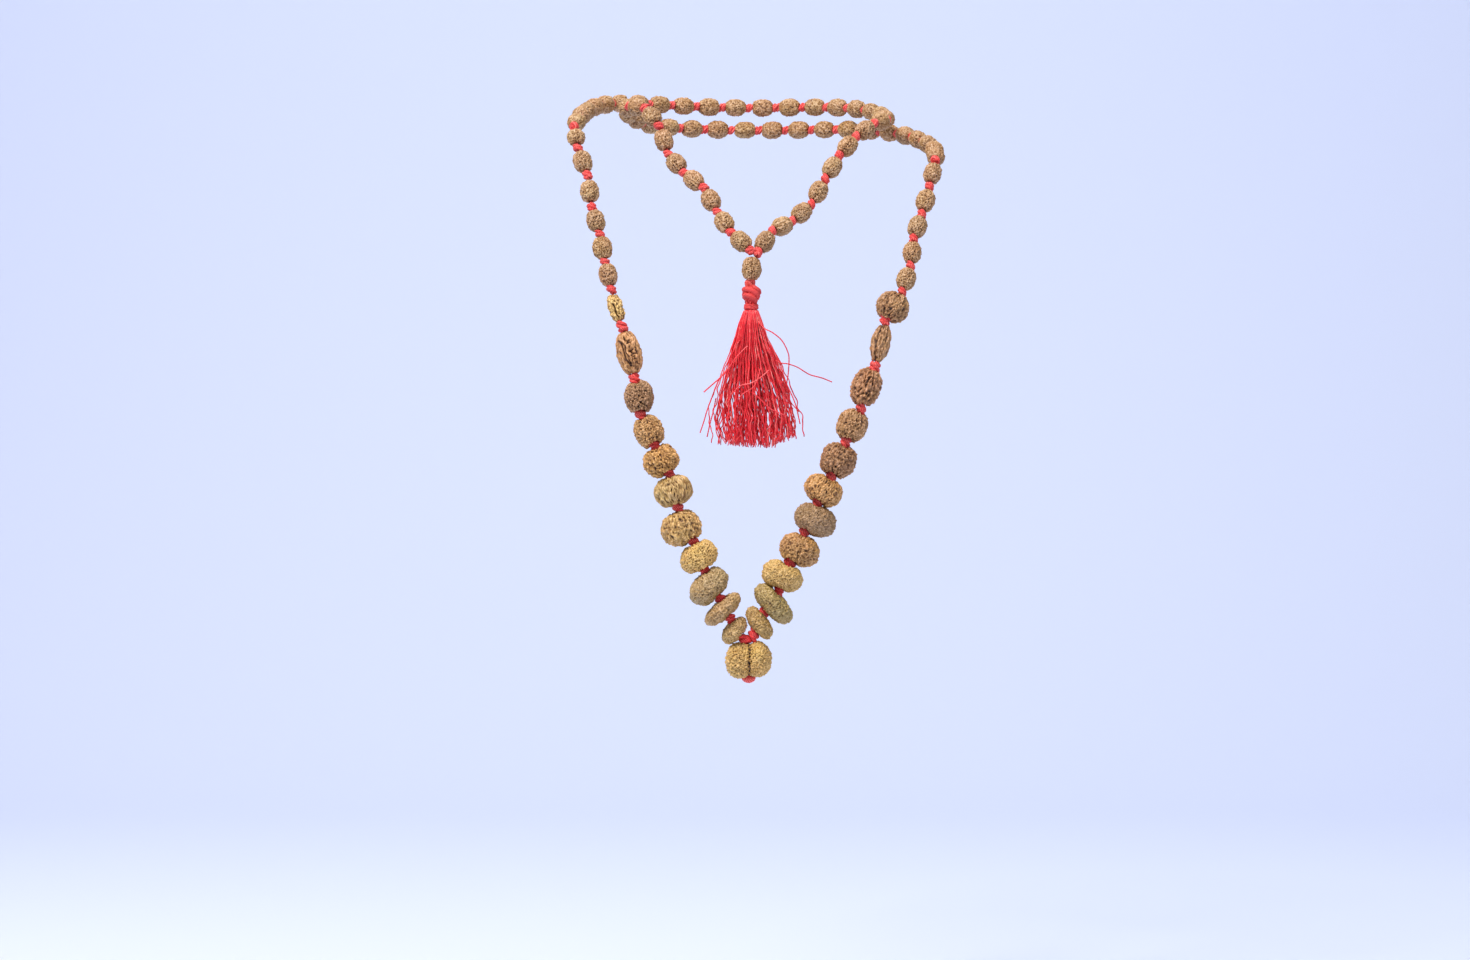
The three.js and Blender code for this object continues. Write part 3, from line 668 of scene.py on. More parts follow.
def seed_material(name, mid, dark=None, light=None, tones=False, gloss=0.42):
    mid = (mid[0], mid[1] * 0.98, mid[2] * 0.82)
    dark = dark or (mid[0] * 0.46, mid[1] * 0.36, mid[2] * 0.28)
    light = light or (min(255, mid[0] * 1.12 + 26), min(255, mid[1] * 1.12 + 24), min(255, mid[2] * 1.12 + 30))
    n = Nodes(name)
    h = n.attribute("h")
    blotch = n.noise(190.0, 3.0, 0.55)
    grain = n.noise(1500.0, 3.0, 0.6)
    level = n.math("ADD", h, n.math("MULTIPLY_ADD", grain, 0.34, -0.17))
    level = n.math("ADD", level, n.math("MULTIPLY_ADD", blotch, 0.3, -0.15), clamp=True)
    # colour follows the relief height h: the pits, furrows and bore are painted dark brown as shade, nearly black in
    # the deepest pits; the ridge tops are lighter, partly the seed's own paler ridges and partly painted highlight
    deep = shade(dark, 0.5)
    colour = n.ramp(level, [
        (0.05, rgb(*deep)), (0.24, rgb(*dark)), (0.44, rgb(mid[0] * 0.84, mid[1] * 0.78, mid[2] * 0.66)),
        (0.68, rgb(*mid)), (1.0, rgb(*light)),
    ])
    # patches of a redder and of an olive brown
    hue = n.noise(95.0, 2.0, 0.5)
    patch = n.ramp(hue, [(0.32, rgb(255, 245, 232)), (0.5, rgb(255, 255, 255)), (0.68, rgb(250, 255, 226))])
    colour = n.mix(0.55, colour, patch, "MULTIPLY")
    if tones:
        tint = n.ramp(n.attribute("tone"), [
            (0.0, rgb(255, 240, 226)), (0.25, rgb(232, 222, 205)), (0.5, rgb(255, 250, 236)), (0.75, rgb(246, 232, 205)),
            (1.0, rgb(255, 255, 244)),
        ])
        colour = n.mix(0.8, colour, tint, "MULTIPLY")
    n.link(colour, n.shader.inputs["Base Color"])
    rough = n.math("MULTIPLY_ADD", level, -0.46, gloss + 0.38, clamp=True)
    n.link(rough, n.shader.inputs["Roughness"])
    n.bump(n.math("ADD", grain, n.math("MULTIPLY", n.noise(4200.0, 2.0, 0.6), 0.45)), 0.5, 0.00012)
    n.set(Specular_IOR_Level=0.62)
    return n.material


def cord_material(name, mid, dark, light, sheen=0.35):
    n = Nodes(name)
    h = n.attribute("h")
    fibre = n.noise(2600.0, 3.0, 0.6)
    level = n.math("ADD", h, n.math("MULTIPLY_ADD", fibre, 0.5, -0.25), clamp=True)
    # colour follows the ply height h: darker in the grooves between the plies as painted shade, lighter on the ply tops
    # as painted highlight
    colour = n.ramp(level, [(0.0, rgb(*dark)), (0.42, rgb(*shade(mid, 0.85))), (0.72, rgb(*mid)), (1.0, rgb(*light))])
    tint = n.ramp(n.attribute("tone"), [
        (0.0, rgb(255, 214, 214)), (0.35, rgb(236, 226, 226)), (0.7, rgb(255, 255, 255)), (1.0, rgb(225, 205, 208)),
    ])
    colour = n.mix(0.7, colour, tint, "MULTIPLY")
    n.link(colour, n.shader.inputs["Base Color"])
    n.link(n.math("MULTIPLY_ADD", fibre, 0.25, 0.5), n.shader.inputs["Roughness"])
    n.bump(fibre, 0.55, 0.0001)
    n.set(Specular_IOR_Level=0.4, Sheen_Weight=sheen, Sheen_Roughness=0.45, Sheen_Tint=rgb(255, 170, 160))
    return n.material


def silk_material(name):
    n = Nodes(name)
    h = n.attribute("h")
    streak = n.noise(420.0, 3.0, 0.6)
    # level follows ply height, thread tone and streaks: the dark end paints shade into the grooves between the plies
    # and onto the threads at the back, the pale pink top paints glints on the ply tops as highlight
    level = n.math("MULTIPLY_ADD", h, 0.5, n.math("MULTIPLY", n.attribute("tone"), 0.5))
    level = n.math("ADD", level, n.math("MULTIPLY_ADD", streak, 0.6, -0.3), clamp=True)
    colour = n.ramp(level, [
        (0.05, rgb(120, 6, 24)), (0.3, rgb(200, 14, 34)), (0.55, rgb(236, 30, 44)), (0.78, rgb(248, 66, 70)),
        (1.0, rgb(255, 176, 164)),
    ])
    n.link(colour, n.shader.inputs["Base Color"])
    n.link(n.math("MULTIPLY_ADD", streak, 0.3, 0.22), n.shader.inputs["Roughness"])
    n.bump(n.noise(3600.0, 2.0, 0.6), 0.3, 0.00008)
    n.set(Specular_IOR_Level=0.6, Sheen_Weight=0.25, Sheen_Roughness=0.3, Sheen_Tint=rgb(255, 190, 180))
    return n.material


# how each kind of seed is carved: f is pits per mm, amp the relief's height in mm, stretch below 1 draws it out along
# the string, faces the furrows from pole to pole, long and lean its lobes beyond the poles, nest the room at its knots
SMALL = dict(f=1.12, stretch=0.8, amp=0.84, net=0.65, faces=5, face_d=0.09, face_w=0.24, knobs=0.4, lump=0.14, converge=0.5, bumpy=0.1,
             beads=0.3)
KINDS = {
    "left_01": dict(bumpy=0.5, nest=1.0, f=0.8, stretch=0.55, amp=0.72, net=0.4, lump=0.12, faces=3, face_d=0.2, turn=0.6, beads=0.5,
                    furrows=[(-1.0, -1.6, 0.2, 5.0, 0.36, 0.9)], swells=[(1.2, -2.0, 1.0, 2.2, 0.35)]),
    "left_02": dict(knobs=0.2, f=0.66, stretch=0.45, amp=0.95, net=0.55, lump=0.25, pits=0.9, pit_f=0.75, beads=0.3, er=2.0,
                    ey=1.9, long=1.07,
                    furrows=[(-3.2, -6.0, -0.8, 6.5, 0.38, 0.8), (-1.9, -5.0, -0.4, 2.0, 0.28, 0.5),
                             (0.1, -5.4, 1.5, -4.1, 0.42, 0.8), (0.2, -4.2, 1.4, -5.3, 0.36, 0.7),
                             (0.4, -0.4, 2.5, 1.1, 0.44, 0.9), (0.9, 1.7, 2.0, -0.9, 0.42, 0.8),
                             (1.5, 2.4, 2.2, 3.4, 0.4, 0.7), (2.4, 5.0, 3.1, 5.9, 0.38, 0.6),
                             (3.4, -1.6, 3.7, 0.4, 0.34, 0.6), (-0.4, 5.2, 0.5, 6.6, 0.34, 0.5)],
                    swells=[(2.2, 0.0, 2.2, 6.0, 0.3)]),
    "left_03": dict(bumpy=0.3, f=0.74, stretch=0.85, amp=1.15, net=0.6, lump=0.25, faces=5, face_d=0.125, pits=0.5, beads=0.45),
    "left_04": dict(f=0.76, stretch=0.8, amp=1.05, net=0.6, lump=0.25, faces=6, face_d=0.125, pits=0.45, beads=0.4,
                    nest=0.5, long=1.06),
    "left_05": dict(f=0.68, stretch=0.72, amp=1.2, net=0.5, lump=0.3, faces=6, face_d=0.15, pits=0.6, beads=0.42,
                    nest=0.9, nest_soft=0.4, long=1.1, lean=-13),
    "left_06": dict(f=0.72, stretch=0.42, amp=1.0, net=0.55, lump=0.3, faces=9, face_d=0.16, converge=0.6, beads=0.4,
                    nest=0.8, nest_soft=0.4, long=1.02, lean=-3),
    "left_07": dict(f=0.66, stretch=0.6, amp=1.15, net=0.5, lump=0.4, faces=7, face_d=0.175, pits=0.5, beads=0.42,
                    nest=0.5, long=1.04),
    "left_08": dict(f=0.98, stretch=0.95, amp=0.9, net=0.78, bumpy=0.15, pale=0.16, knobs=0.6, lump=0.3, faces=0, beads=0.2, nest=2.0, nest_soft=0.6,
                    long=1.16, lean=-6),
    "left_09": dict(bumpy=0.6, f=0.8, stretch=0.42, amp=0.85, net=0.55, lump=0.35, faces=11, face_d=0.2, converge=0.6, beads=0.35,
                    nest=0.6, long=1.06),
    "left_10": dict(bumpy=0.6, f=0.86, stretch=0.6, amp=0.75, net=0.6, lump=0.25, faces=12, face_d=0.2, converge=0.5, beads=0.35,
                    nest=0.5),
    "left_11": dict(bumpy=0.6, f=0.9, stretch=0.6, amp=0.7, net=0.6, lump=0.25, faces=10, face_d=0.18, converge=0.5, beads=0.35,
                    nest=0.3),
    "right_01": dict(f=0.68, stretch=0.55, amp=1.1, net=0.5, lump=0.25, faces=6, face_d=0.175, pits=0.4, beads=0.4),
    "right_02": dict(f=0.68, stretch=0.45, amp=0.95, net=0.55, lump=0.2, faces=3, face_d=0.35, pits=0.6, beads=0.3,
                     er=2.0, ey=1.9, long=1.05),
    "right_03": dict(f=0.62, stretch=0.6, amp=1.3, net=0.5, lump=0.3, faces=5, face_d=0.2, pits=0.7, beads=0.4),
    "right_04": dict(f=0.72, stretch=0.7, amp=1.05, net=0.55, lump=0.25, faces=6, face_d=0.15, pits=0.5, beads=0.42,
                     nest=0.4),
    "right_05": dict(f=0.7, stretch=0.7, amp=1.1, net=0.55, lump=0.3, faces=7, face_d=0.15, pits=0.5, beads=0.42,
                     nest=0.5, long=1.06),
    "right_06": dict(f=0.74, stretch=0.62, amp=1.0, net=0.5, lump=0.3, faces=7, face_d=0.15, pits=0.4, beads=0.38,
                     nest=0.7, nest_soft=0.4, long=1.12, lean=6),
    "right_07": dict(bumpy=0.6, f=0.9, stretch=0.85, amp=0.8, net=0.65, lump=0.35, faces=8, face_d=0.18, beads=0.36, nest=0.6,
                     long=1.06),
    "right_08": dict(f=0.74, stretch=0.8, amp=1.1, net=0.65, lump=0.3, faces=8, face_d=0.11, pits=0.4, beads=0.42,
                     nest=0.5, long=1.05),
    "right_09": dict(bumpy=0.6, f=0.86, stretch=0.85, amp=0.75, net=0.7, lump=0.35, faces=9, face_d=0.2, beads=0.3, nest=1.2,
                     nest_soft=0.6, long=1.1),
    "right_10": dict(bumpy=0.6, f=0.9, stretch=0.75, amp=0.75, net=0.6, lump=0.3, faces=13, face_d=0.18, beads=0.36, nest=0.5),
    "right_11": dict(bumpy=0.6, f=0.92, stretch=0.6, amp=0.7, net=0.6, lump=0.25, faces=12, face_d=0.18, beads=0.36, nest=0.3),
    "bottom": dict(f=0.84, stretch=0.95, amp=0.9, net=0.8, bumpy=0.15, lump=0.2, beads=0.3),
}
TONES = {
    "left_01": (200, 166, 112), "left_02": (180, 133, 93), "left_03": (154, 116, 86), "left_04": (182, 140, 94),
    "left_05": (184, 139, 82), "left_06": (180, 148, 102), "left_07": (186, 148, 98), "left_08": (193, 158, 98),
    "left_09": (165, 140, 105), "left_10": (168, 136, 98), "left_11": (179, 147, 105), "right_01": (154, 112, 76),
    "right_02": (160, 118, 85), "right_03": (161, 113, 80), "right_04": (164, 122, 85), "right_05": (149, 106, 73),
    "right_06": (185, 138, 88), "right_07": (146, 114, 86), "right_08": (172, 128, 82), "right_09": (191, 158, 103),
    "right_10": (156, 134, 87), "right_11": (171, 138, 88), "bottom": (196, 160, 102),
}
LEFT_SEEDS = [  # width, length, along, aside, tilt
    (6.8, 13.5, 0.0, -0.4, 0), (11.5, 19.4, 0.4, 0.3, 0), (13.0, 14.8, 0.3, 0.6, 0), (13.2, 13.9, 0.6, 0.3, 0),
    (16.3, 12.3, 0.0, -0.7, 0), (17.6, 13.2, -0.1, -0.1, 0), (18.5, 14.6, 0.6, -2.6, 0), (17.6, 11.6, 0.3, -0.2, -14),
    (19.8, 12.0, 0.0, -1.8, -16), (19.8, 7.7, -0.6, -1.2, -14), (13.8, 7.4, -0.4, -1.7, -16),
]
RIGHT_SEEDS = [
    (15.0, 13.0, 0.6, 0.0, 0), (8.8, 17.3, 0.0, 0.2, 0), (13.2, 16.8, 0.1, -0.9, 0), (13.7, 14.6, 0.5, -0.4, 0),
    (15.9, 14.6, 0.6, 0.1, 0), (17.6, 11.7, 0.6, -0.2, 0), (19.0, 12.8, 0.2, 2.2, 0), (18.5, 13.2, 0.5, 1.5, 0),
    (19.0, 11.5, -0.2, -0.9, 0), (21.6, 9.8, 0.3, 1.5, 14), (16.4, 7.6, -0.3, 0.1, 30),
]

for kind in KINDS.values():
    kind["nest"] = max(kind.get("nest", 0.12), 0.62)
    kind["amp"] *= 1.08
for key in ("left_03", "left_04", "left_05", "left_06", "left_07", "left_08", "left_09", "left_10", "right_04",
            "right_05", "right_06", "right_07", "right_08", "right_09", "right_10"):
    KINDS[key]["open"] = 0.75
for key in ("left_09", "left_10", "left_11", "right_07", "right_09", "right_10", "right_11"):
    KINDS[key].update(net=0.6, bumpy=0.2, face_d=0.03, amp=0.85, stretch=0.85, knobs=0.65, beads=0.34,
                      pale=0.12)
    KINDS[key]["f"] *= 1.2
KINDS["bottom"].update(amp=1.0, knobs=0.7, bumpy=0.2, net=0.6, f=1.02, beads=0.36, pale=0.1)

SMALL_MATERIAL = seed_material("small_seed_shell", (170, 131, 97), dark=(96, 62, 38), light=(216, 182, 148), tones=True)
CORD = cord_material("red_plied_cord", (240, 70, 66), (140, 14, 22), (255, 138, 124))
DEEP_CORD = cord_material("red_cord_deep", (234, 48, 50), (118, 8, 18), (250, 118, 106))
SILK = silk_material("red_silk")

DETAIL = 1.0


def size(cols, rows):
    return max(24, int(cols * DETAIL)), max(14, int(rows * DETAIL))


# ------------------------------------------------------------------------------------------------ the strung runs
def strung(name, points, body, node, first, last, cols, rows, steps, sides, seed0):
    seeds, string = Parts(), Parts()
    end = len(points) - 1
    for i in range(end):
        chord = float(np.linalg.norm(np.array(points[i + 1]) - points[i]))
        free = (i == 0 and not first) or (i == end - 1 and not last)
        length = min(SMALL_LENGTH, chord - 2.6)
        if free:
            length = min(length, chord - 2 * (KNOT + CLEAR) - 0.1)
        kind = dict(SMALL, turn=float(i * 1.7))
        wide = SMALL_WIDTH * (1 + 0.03 * math.sin(i * 2.3 + seed0))
        c, r = size(cols, rows)
        hinge = KNOT + 0.35 if i == 0 and not first else KNOT - 0.45  # more room beside the knot it turns about
        add_seed(seeds, points[i], points[i + 1], wide, length, kind, seed0 + i, c, r, radii=(hinge, KNOT - 0.45))
    for i in range(end + 1):
        if (i == 0 and not first) or (i == end and not last):
            continue
        knot_between(string, points[i], direction_at(points, i), KNOT, seed0 + i, steps, sides)
    strand(string, points)
    seeds.build(f"{name}_seeds", SMALL_MATERIAL, body, "small_seed", [node])
    string.build(f"{name}_string", CORD, body, "red_cord", [node])


strung("back_upper", BACK_UPPER, "root", "back_strand_upper", True, True, 72, 42, 34, 8, 100)
strung("back_lower", BACK_LOWER, "root", "back_strand_lower", True, True, 72, 42, 34, 8, 200)
strung("outer_upper_left", OUTER_LEFT, "outer_upper", "outer_upper_left_run", False, True, 120, 68, 64, 10, 300)
strung("outer_upper_right", OUTER_RIGHT, "outer_upper", "outer_upper_right_run", False, True, 120, 68, 64, 10, 400)

# ------------------------------------------------------------------------------------------------ the large seeds
for side, knots, specs in (("left", LEFT_LARGE, LEFT_SEEDS), ("right", RIGHT_LARGE, RIGHT_SEEDS)):
    low = {len(knots) - 1} | ({8} if side == "right" else set())
    radii = [LOW_KNOT if i in low else KNOT for i in range(len(knots))]
    for i, (width, length, along, aside, tilt) in enumerate(specs):
        key = f"{side}_{i + 1:02d}"
        parts = Parts()
        cols, rows = size(232, 126) if width > 9 else size(150, 110)
        add_seed(parts, knots[i], knots[i + 1], width, length, KINDS[key], (500 if side == "left" else 600) + 13 * i,
                 cols, rows, radii=(radii[i], radii[i + 1]), along=along, aside=aside, tilt=tilt)
        node = f"{side}_seed_{i + 1:02d}"
        parts.build(f"{side}_large_seed_{i + 1:02d}", seed_material(f"seed_shell_{key}", TONES[key]), node, "large_seed",
                    [node])
    for part, body, start, stop in (("middle", "outer_middle", 0, 4), ("lower", "outer_lower", 4, 7),
                                    ("point", "outer_point", 7, 11)):
        string = Parts()
        for i in range(start + 1, stop + 1):
            knot_between(string, knots[i], direction_at(knots, i), radii[i] * (1.16 if i < len(knots) - 1 else 1.06),
                         (700 if side == "left" else 750) + i, long=1.12)
        strand(string, knots[start : stop + 1])
        string.build(f"{side}_{part}_string", CORD if part != "point" else DEEP_CORD, body, "red_cord",
                     [f"{side}_{part}_cord"])

# ------------------------------------------------------------------------------------------------ the inner loop
for side, knots in (("left", INNER_LEFT), ("right", INNER_RIGHT)):
    for i in range(len(knots) - 1):
        chord = float(np.linalg.norm(np.array(knots[i + 1]) - knots[i]))
        node = f"inner_{side}_seed_{i + 1}"
        parts = Parts()
        c, r = size(120, 68)
        number = (800 if side == "left" else 850) + i
        add_seed(parts, knots[i], knots[i + 1], SMALL_WIDTH, min(SMALL_LENGTH, chord - 2.6),
                 dict(SMALL, turn=float(i * 1.3 + 0.4)), number, c, r, radii=(KNOT + (0.7 if i == 0 else -0.15), KNOT - 0.15))
        parts.build(f"inner_{side}_small_seed_{i + 1}", SMALL_MATERIAL, node, "small_seed", [node])
for name, knots, top in (("inner_left", INNER_LEFT[:5], 4), ("inner_right", INNER_RIGHT[:4], 3)):
    string = Parts()
    for i in range(1, top + 1):
        full = INNER_LEFT if name == "inner_left" else INNER_RIGHT
        knot_between(string, knots[i], direction_at(full, i), KNOT, 880 + i + 10 * top)
    strand(string, knots)
    string.build(f"{name}_string", CORD, "inner_upper", "red_cord", [f"{name}_cord"])
string = Parts()
for knots, pivot, number in ((INNER_LEFT, 4, 920), (INNER_RIGHT, 3, 940)):
    for i in range(pivot + 1, len(knots)):
        knot_between(string, knots[i], direction_at(knots, i), KNOT, number + i)
strand(string, INNER_LEFT[4:] + INNER_RIGHT[3:][::-1])
string.build("inner_v_string", CORD, "inner_v", "red_cord", ["inner_v_cord"])

# ------------------------------------------------------------------------------------------------ guru bead and loop
parts = Parts()
cx, cy, cz = GURU_CENTRE
top, bottom = (cx, cy, cz + GURU_LENGTH / 2 + 1.3), (cx, cy, cz - GURU_LENGTH / 2 - 1.3)
c, r = size(140, 84)
add_seed(parts, top, bottom, GURU_WIDTH, GURU_LENGTH,
         dict(SMALL, faces=5, turn=-math.pi / 2 + math.pi, face_d=0.16, face_w=0.25, f=1.08), 990, c, r, radii=(0.9, 0.9))
parts.build("guru_seed", SMALL_MATERIAL, "guru_bead", "small_seed", ["guru_bead"])

string = Parts()
strand(string, [(cx, cy, cz + 5.4), (cx, cy, cz - 5.0)], radius=0.6)
# the short loop that the tassel hangs in: out of the bead, round, and back
z0, z1 = cz - GURU_LENGTH / 2 + 0.6, BALL_Z + BALL_RADIUS - 0.8
loop = smooth_path([(cx - 0.2, cy, z0), (cx - 1.7, cy - 0.3, z0 - 1.0), (cx - 2.3, cy - 0.4, (z0 + z1) / 2),
                    (cx - 1.5, cy - 0.2, z1 - 0.5), (cx - 0.1, cy + 0.1, z1 - 0.7), (cx + 0.8, cy + 0.4, (z0 + z1) / 2),
                    (cx + 0.7, cy + 0.2, z0 - 1.0), (cx + 0.2, cy, z0)], 60)
sweep(string, loop, 0.98, sides=12, ply=0.16, pitch=1.6, tone=0.8)
mid = smooth_path([(cx - 0.9, cy - 0.5, z0 - 0.2), (cx - 1.0, cy - 0.8, (z0 + z1) / 2 + 0.3),
                   (cx - 0.3, cy - 0.9, (z0 + z1) / 2 - 0.8), (cx + 0.2, cy - 0.4, z1 - 0.6)], 30)
sweep(string, mid, 0.95, sides=12, ply=0.16, pitch=1.6, tone=0.5)
knot_between(string, (cx, cy, cz - GURU_LENGTH / 2 - 0.45), (0, 0, 1), 1.25, 991, 48, 9, long=0.7)
string.build("guru_loop", CORD, "pendant", "red_cord", ["guru_cord"])

# ------------------------------------------------------------------------------------------------ ball knot
ball = Parts()
centre = np.array([PENDANT[0], PENDANT[1], BALL_Z])
thread = 0.62
t = np.linspace(0, 2 * math.pi, 56)
tilt = math.radians(24)
turns = [  # (axis, offsets)
    (np.array([math.sin(tilt), 0.0, math.cos(tilt)]), (-2.5, -1.5, -0.45, 0.6, 1.65, 2.6), 0.0),
    (np.array([math.cos(tilt), 0.25, -math.sin(tilt)]), (-1.5, -0.45, 0.6, 1.6), math.pi / 2),
    (np.array([0.35, 0.9, 0.3]), (-1.2, 0.0, 1.2), 0.0),
]
for k, (axis, offsets, lift) in enumerate(turns):
    axis = axis / np.linalg.norm(axis)
    x = np.cross(axis, (0.0, 1.0, 0.0) if abs(axis[1]) < 0.8 else (0.0, 0.0, 1.0))
    x /= np.linalg.norm(x)
    z = np.cross(axis, x)
    for j, offset in enumerate(offsets):
        R = BALL_RADIUS - thread + 0.2 * np.cos(2 * t + lift + 0.25 * j)
        flat = np.sqrt(np.maximum(R * R - offset * offset, 0.3))
        drift = offset + 0.16 * np.sin(2 * t + j + k)
        path = centre + np.outer(flat * np.cos(t), x) + np.outer(flat * np.sin(t), z) + np.outer(drift, axis)
        sweep(ball, path, thread * (1.0 if k < 2 else 0.9), sides=9, ply=0.2, pitch=1.8, phase=j * 1.1,
              tone=(0.15 + 0.31 * j + 0.2 * k) % 1.0)
core = np.stack([np.zeros(13), np.zeros(13), np.linspace(-1, 1, 13)], 1) * (BALL_RADIUS - 0.7)
core_r = (BALL_RADIUS - 0.75) * np.sqrt(np.maximum(1 - np.linspace(-0.98, 0.98, 13) ** 2, 0.02))
sweep(ball, core + centre, core_r[None], sides=20, ply=0.0, tone=0.3)
# the threads drawn together between the ball and the binding
for k in range(9):
    a = 2 * math.pi * k / 9 + 0.3
    path = centre + np.stack([np.array([2.3, 2.15, 2.0, 1.95, 2.0]) * math.cos(a),
                              np.array([2.3, 2.15, 2.0, 1.95, 2.0]) * math.sin(a),
                              np.array([-2.9, -3.5, -4.0, -4.4, -4.8])], 1)
    sweep(ball, path, 0.72, sides=8, ply=0.2, pitch=1.8, phase=k, tone=(0.3 * k) % 1.0)
for pts, thick, tone in (
        (((-3.3, -1.2, 2.2), (-2.3, -2.9, 2.5), (-0.2, -3.5, 1.9), (1.9, -3.0, 0.6), (3.1, -1.4, -1.2)), 1.15, 0.7),
        (((-2.9, -1.4, -0.6), (-1.9, -3.1, -0.4), (-0.2, -3.6, -1.0), (1.3, -3.1, -2.0), (1.9, -1.8, -2.9)), 1.1, 0.35),
        (((1.0, -1.0, 3.6), (1.8, -2.3, 2.9), (3.2, -1.9, 1.9), (3.6, 0.2, 0.9)), 1.1, 0.9)):
    sweep(ball, smooth_path([tuple(centre + np.array(p)) for p in pts], 40), thick, sides=32, plies=9, ply=0.035, pitch=5.5,
          tone=tone)
ball.build("ball_knot", DEEP_CORD, "tassel_head", "red_cord", ["tassel_ball_knot"])

# ------------------------------------------------------------------------------------------------ binding
wrap = Parts()
t = np.linspace(0, 1, 420)
turns = 4.6
angle = 2 * math.pi * turns * t
R = BINDING_RADIUS - 0.34 - 0.35 * step(0.25, 0.0, t) + 0.06 * np.sin(angle * 0.37)
zz = BINDING_TOP - 0.25 - (BINDING_HEIGHT - 0.5) * t + 0.08 * np.sin(angle)
path = np.stack([PENDANT[0] + R * np.cos(angle), PENDANT[1] + R * np.sin(angle), zz], 1)
sweep(wrap, path, 0.4, sides=9, ply=0.22, pitch=1.5, tone=0.6)
t = np.linspace(0, 1, 60)
path = np.stack([PENDANT[0] + (BINDING_RADIUS - 0.1) * np.cos(-1.9 + 1.1 * t),
                 PENDANT[1] + (BINDING_RADIUS - 0.1) * np.sin(-1.9 + 1.1 * t), BINDING_TOP - 0.4 - 1.7 * t], 1)
sweep(wrap, path, 0.38, sides=9, ply=0.22, pitch=1.4, tone=0.9)
core = np.array([[PENDANT[0], PENDANT[1], BINDING_TOP - 0.1 - 2.9 * k] for k in np.linspace(0, 1, 8)])
sweep(wrap, core, np.array([[1.9, 2.5, 2.75, 2.8, 2.8, 2.8, 2.75, 2.6]]), sides=24, ply=0.0, tone=0.3)
wrap.build("tassel_wrap", DEEP_CORD, "tassel", "red_cord", ["tassel_binding"])

# ------------------------------------------------------------------------------------------------ tassel threads
rng = np.random.default_rng(4242)


def skirt_at(drop):
    return np.interp(drop, SKIRT[:, 0], SKIRT[:, 1]), np.interp(drop, SKIRT[:, 0], SKIRT[:, 2])


def tassel_threads(count, steps, seed):
    rng = np.random.default_rng(seed)
    # places over the disc, even by the golden angle, and then pushed into locks
    k = np.arange(count) + 0.5
    rad = np.sqrt(k / count) * 0.985
    ang = k * 2.399963
    a, b = rad * np.cos(ang), rad * np.sin(ang)
    drop = np.linspace(-0.6, 1.0, steps)
    paths = np.zeros((count, steps, 3))
    radius = np.zeros((count, steps))
    # the fringe ends lower in the middle than at the right
    full = 62.4 - 1.2 * step(0.2, -0.9, a) - 4.6 * step(0.15, 0.95, a)
    full = full - np.abs(rng.normal(0, 1.5, count)) - 6.0 * (rng.random(count) < 0.12) * rng.random(count)
    locks = np.linspace(-0.95, 0.95, 15) + rng.uniform(-0.04, 0.04, 15)
    near = locks[np.argmin(np.abs(a[:, None] - locks[None]), 1)]
    pull = rng.uniform(0.0, 0.55, count)
    ph = rng.uniform(0, 2 * math.pi, (count, 6))
    fq = rng.uniform(0.7, 1.5, (count, 3))
    wild = np.where(rng.random(count) < 0.3, 1.9, 1.0)
    drift = rng.normal(0, 0.055, count)
    for i in range(count):
        d = np.where(drop < 0, drop * 2.2, drop * full[i])
        half, flat = skirt_at(np.maximum(d, 0))
        half = half * (1 + 0.1 * step(8.0, 24.0, d) * step(60.0, 34.0, d))
        grow = step(8.0, 55.0, d)
        ai = a[i] + ((near[i] - a[i]) * pull[i] + drift[i]) * grow
        x = ai * half + 3.4 * step(8.0, 62.0, d)
        y = b[i] * half * flat
        sway = (0.1 + 1.15 * step(4.0, 58.0, d)) * wild[i]
        x = x + sway * (
            0.62 * np.sin(d * 0.10 * fq[i, 0] + ph[i, 0])
            + 0.34 * np.sin(d * 0.26 * fq[i, 1] + ph[i, 1])
            + 0.22 * np.sin(d * 0.62 * fq[i, 2] + ph[i, 4])
            + 0.13 * np.sin(d * 1.15 * fq[i, 0] + ph[i, 5])
        )
        x = x + 0.6 * grow * np.sin(0.11 * d + near[i] * 7.0)
        y = y + sway * (0.5 * np.sin(d * 0.12 * fq[i, 1] + ph[i, 2]) + 0.3 * np.sin(d * 0.31 + ph[i, 3]))
        inner = np.where(d < 0, 0.8, 1.0)
        paths[i] = np.stack([PENDANT[0] + x * inner, PENDANT[1] + y * inner, SKIRT_TOP - d], 1)
        radius[i] = 0.3
    radius[:, -1] = 0.24
    # each thread's tone is random, lowered by 0.3 for the threads at the back as painted shade
    tone = np.clip(0.57 + 0.55 * rng.normal(0, 0.55, count) - 0.3 * (b > 0.1), 0, 1)
    return paths, radius, tone, ph[:, 0]


threads = Parts()
COUNT = 206
paths, radius, tone, phase = tassel_threads(COUNT, 96, 4242)
sweep(threads, paths, radius, sides=5, plies=2, ply=0.3, pitch=2.3, phase=phase, tone=tone)
threads.build("tassel_threads", SILK, "tassel", "tassel_silk", ["tassel_skirt"])


def hung(across, depth, up):
    """A point given in mm from the top middle of the tassel skirt's box in the frame."""
    return (PENDANT[0] + across, PENDANT[1] + depth, SKIRT_TOP + up)


def loose(parts, points, radius=0.3, tone=0.5, count=70, pitch=2.0):
    path = smooth_path([hung(*p) for p in points], count)
    r = np.full((1, count), radius)
    sweep(parts, path, r, sides=7, plies=2, ply=0.3, pitch=pitch, phase=points[0][0], tone=tone)


strays = Parts()
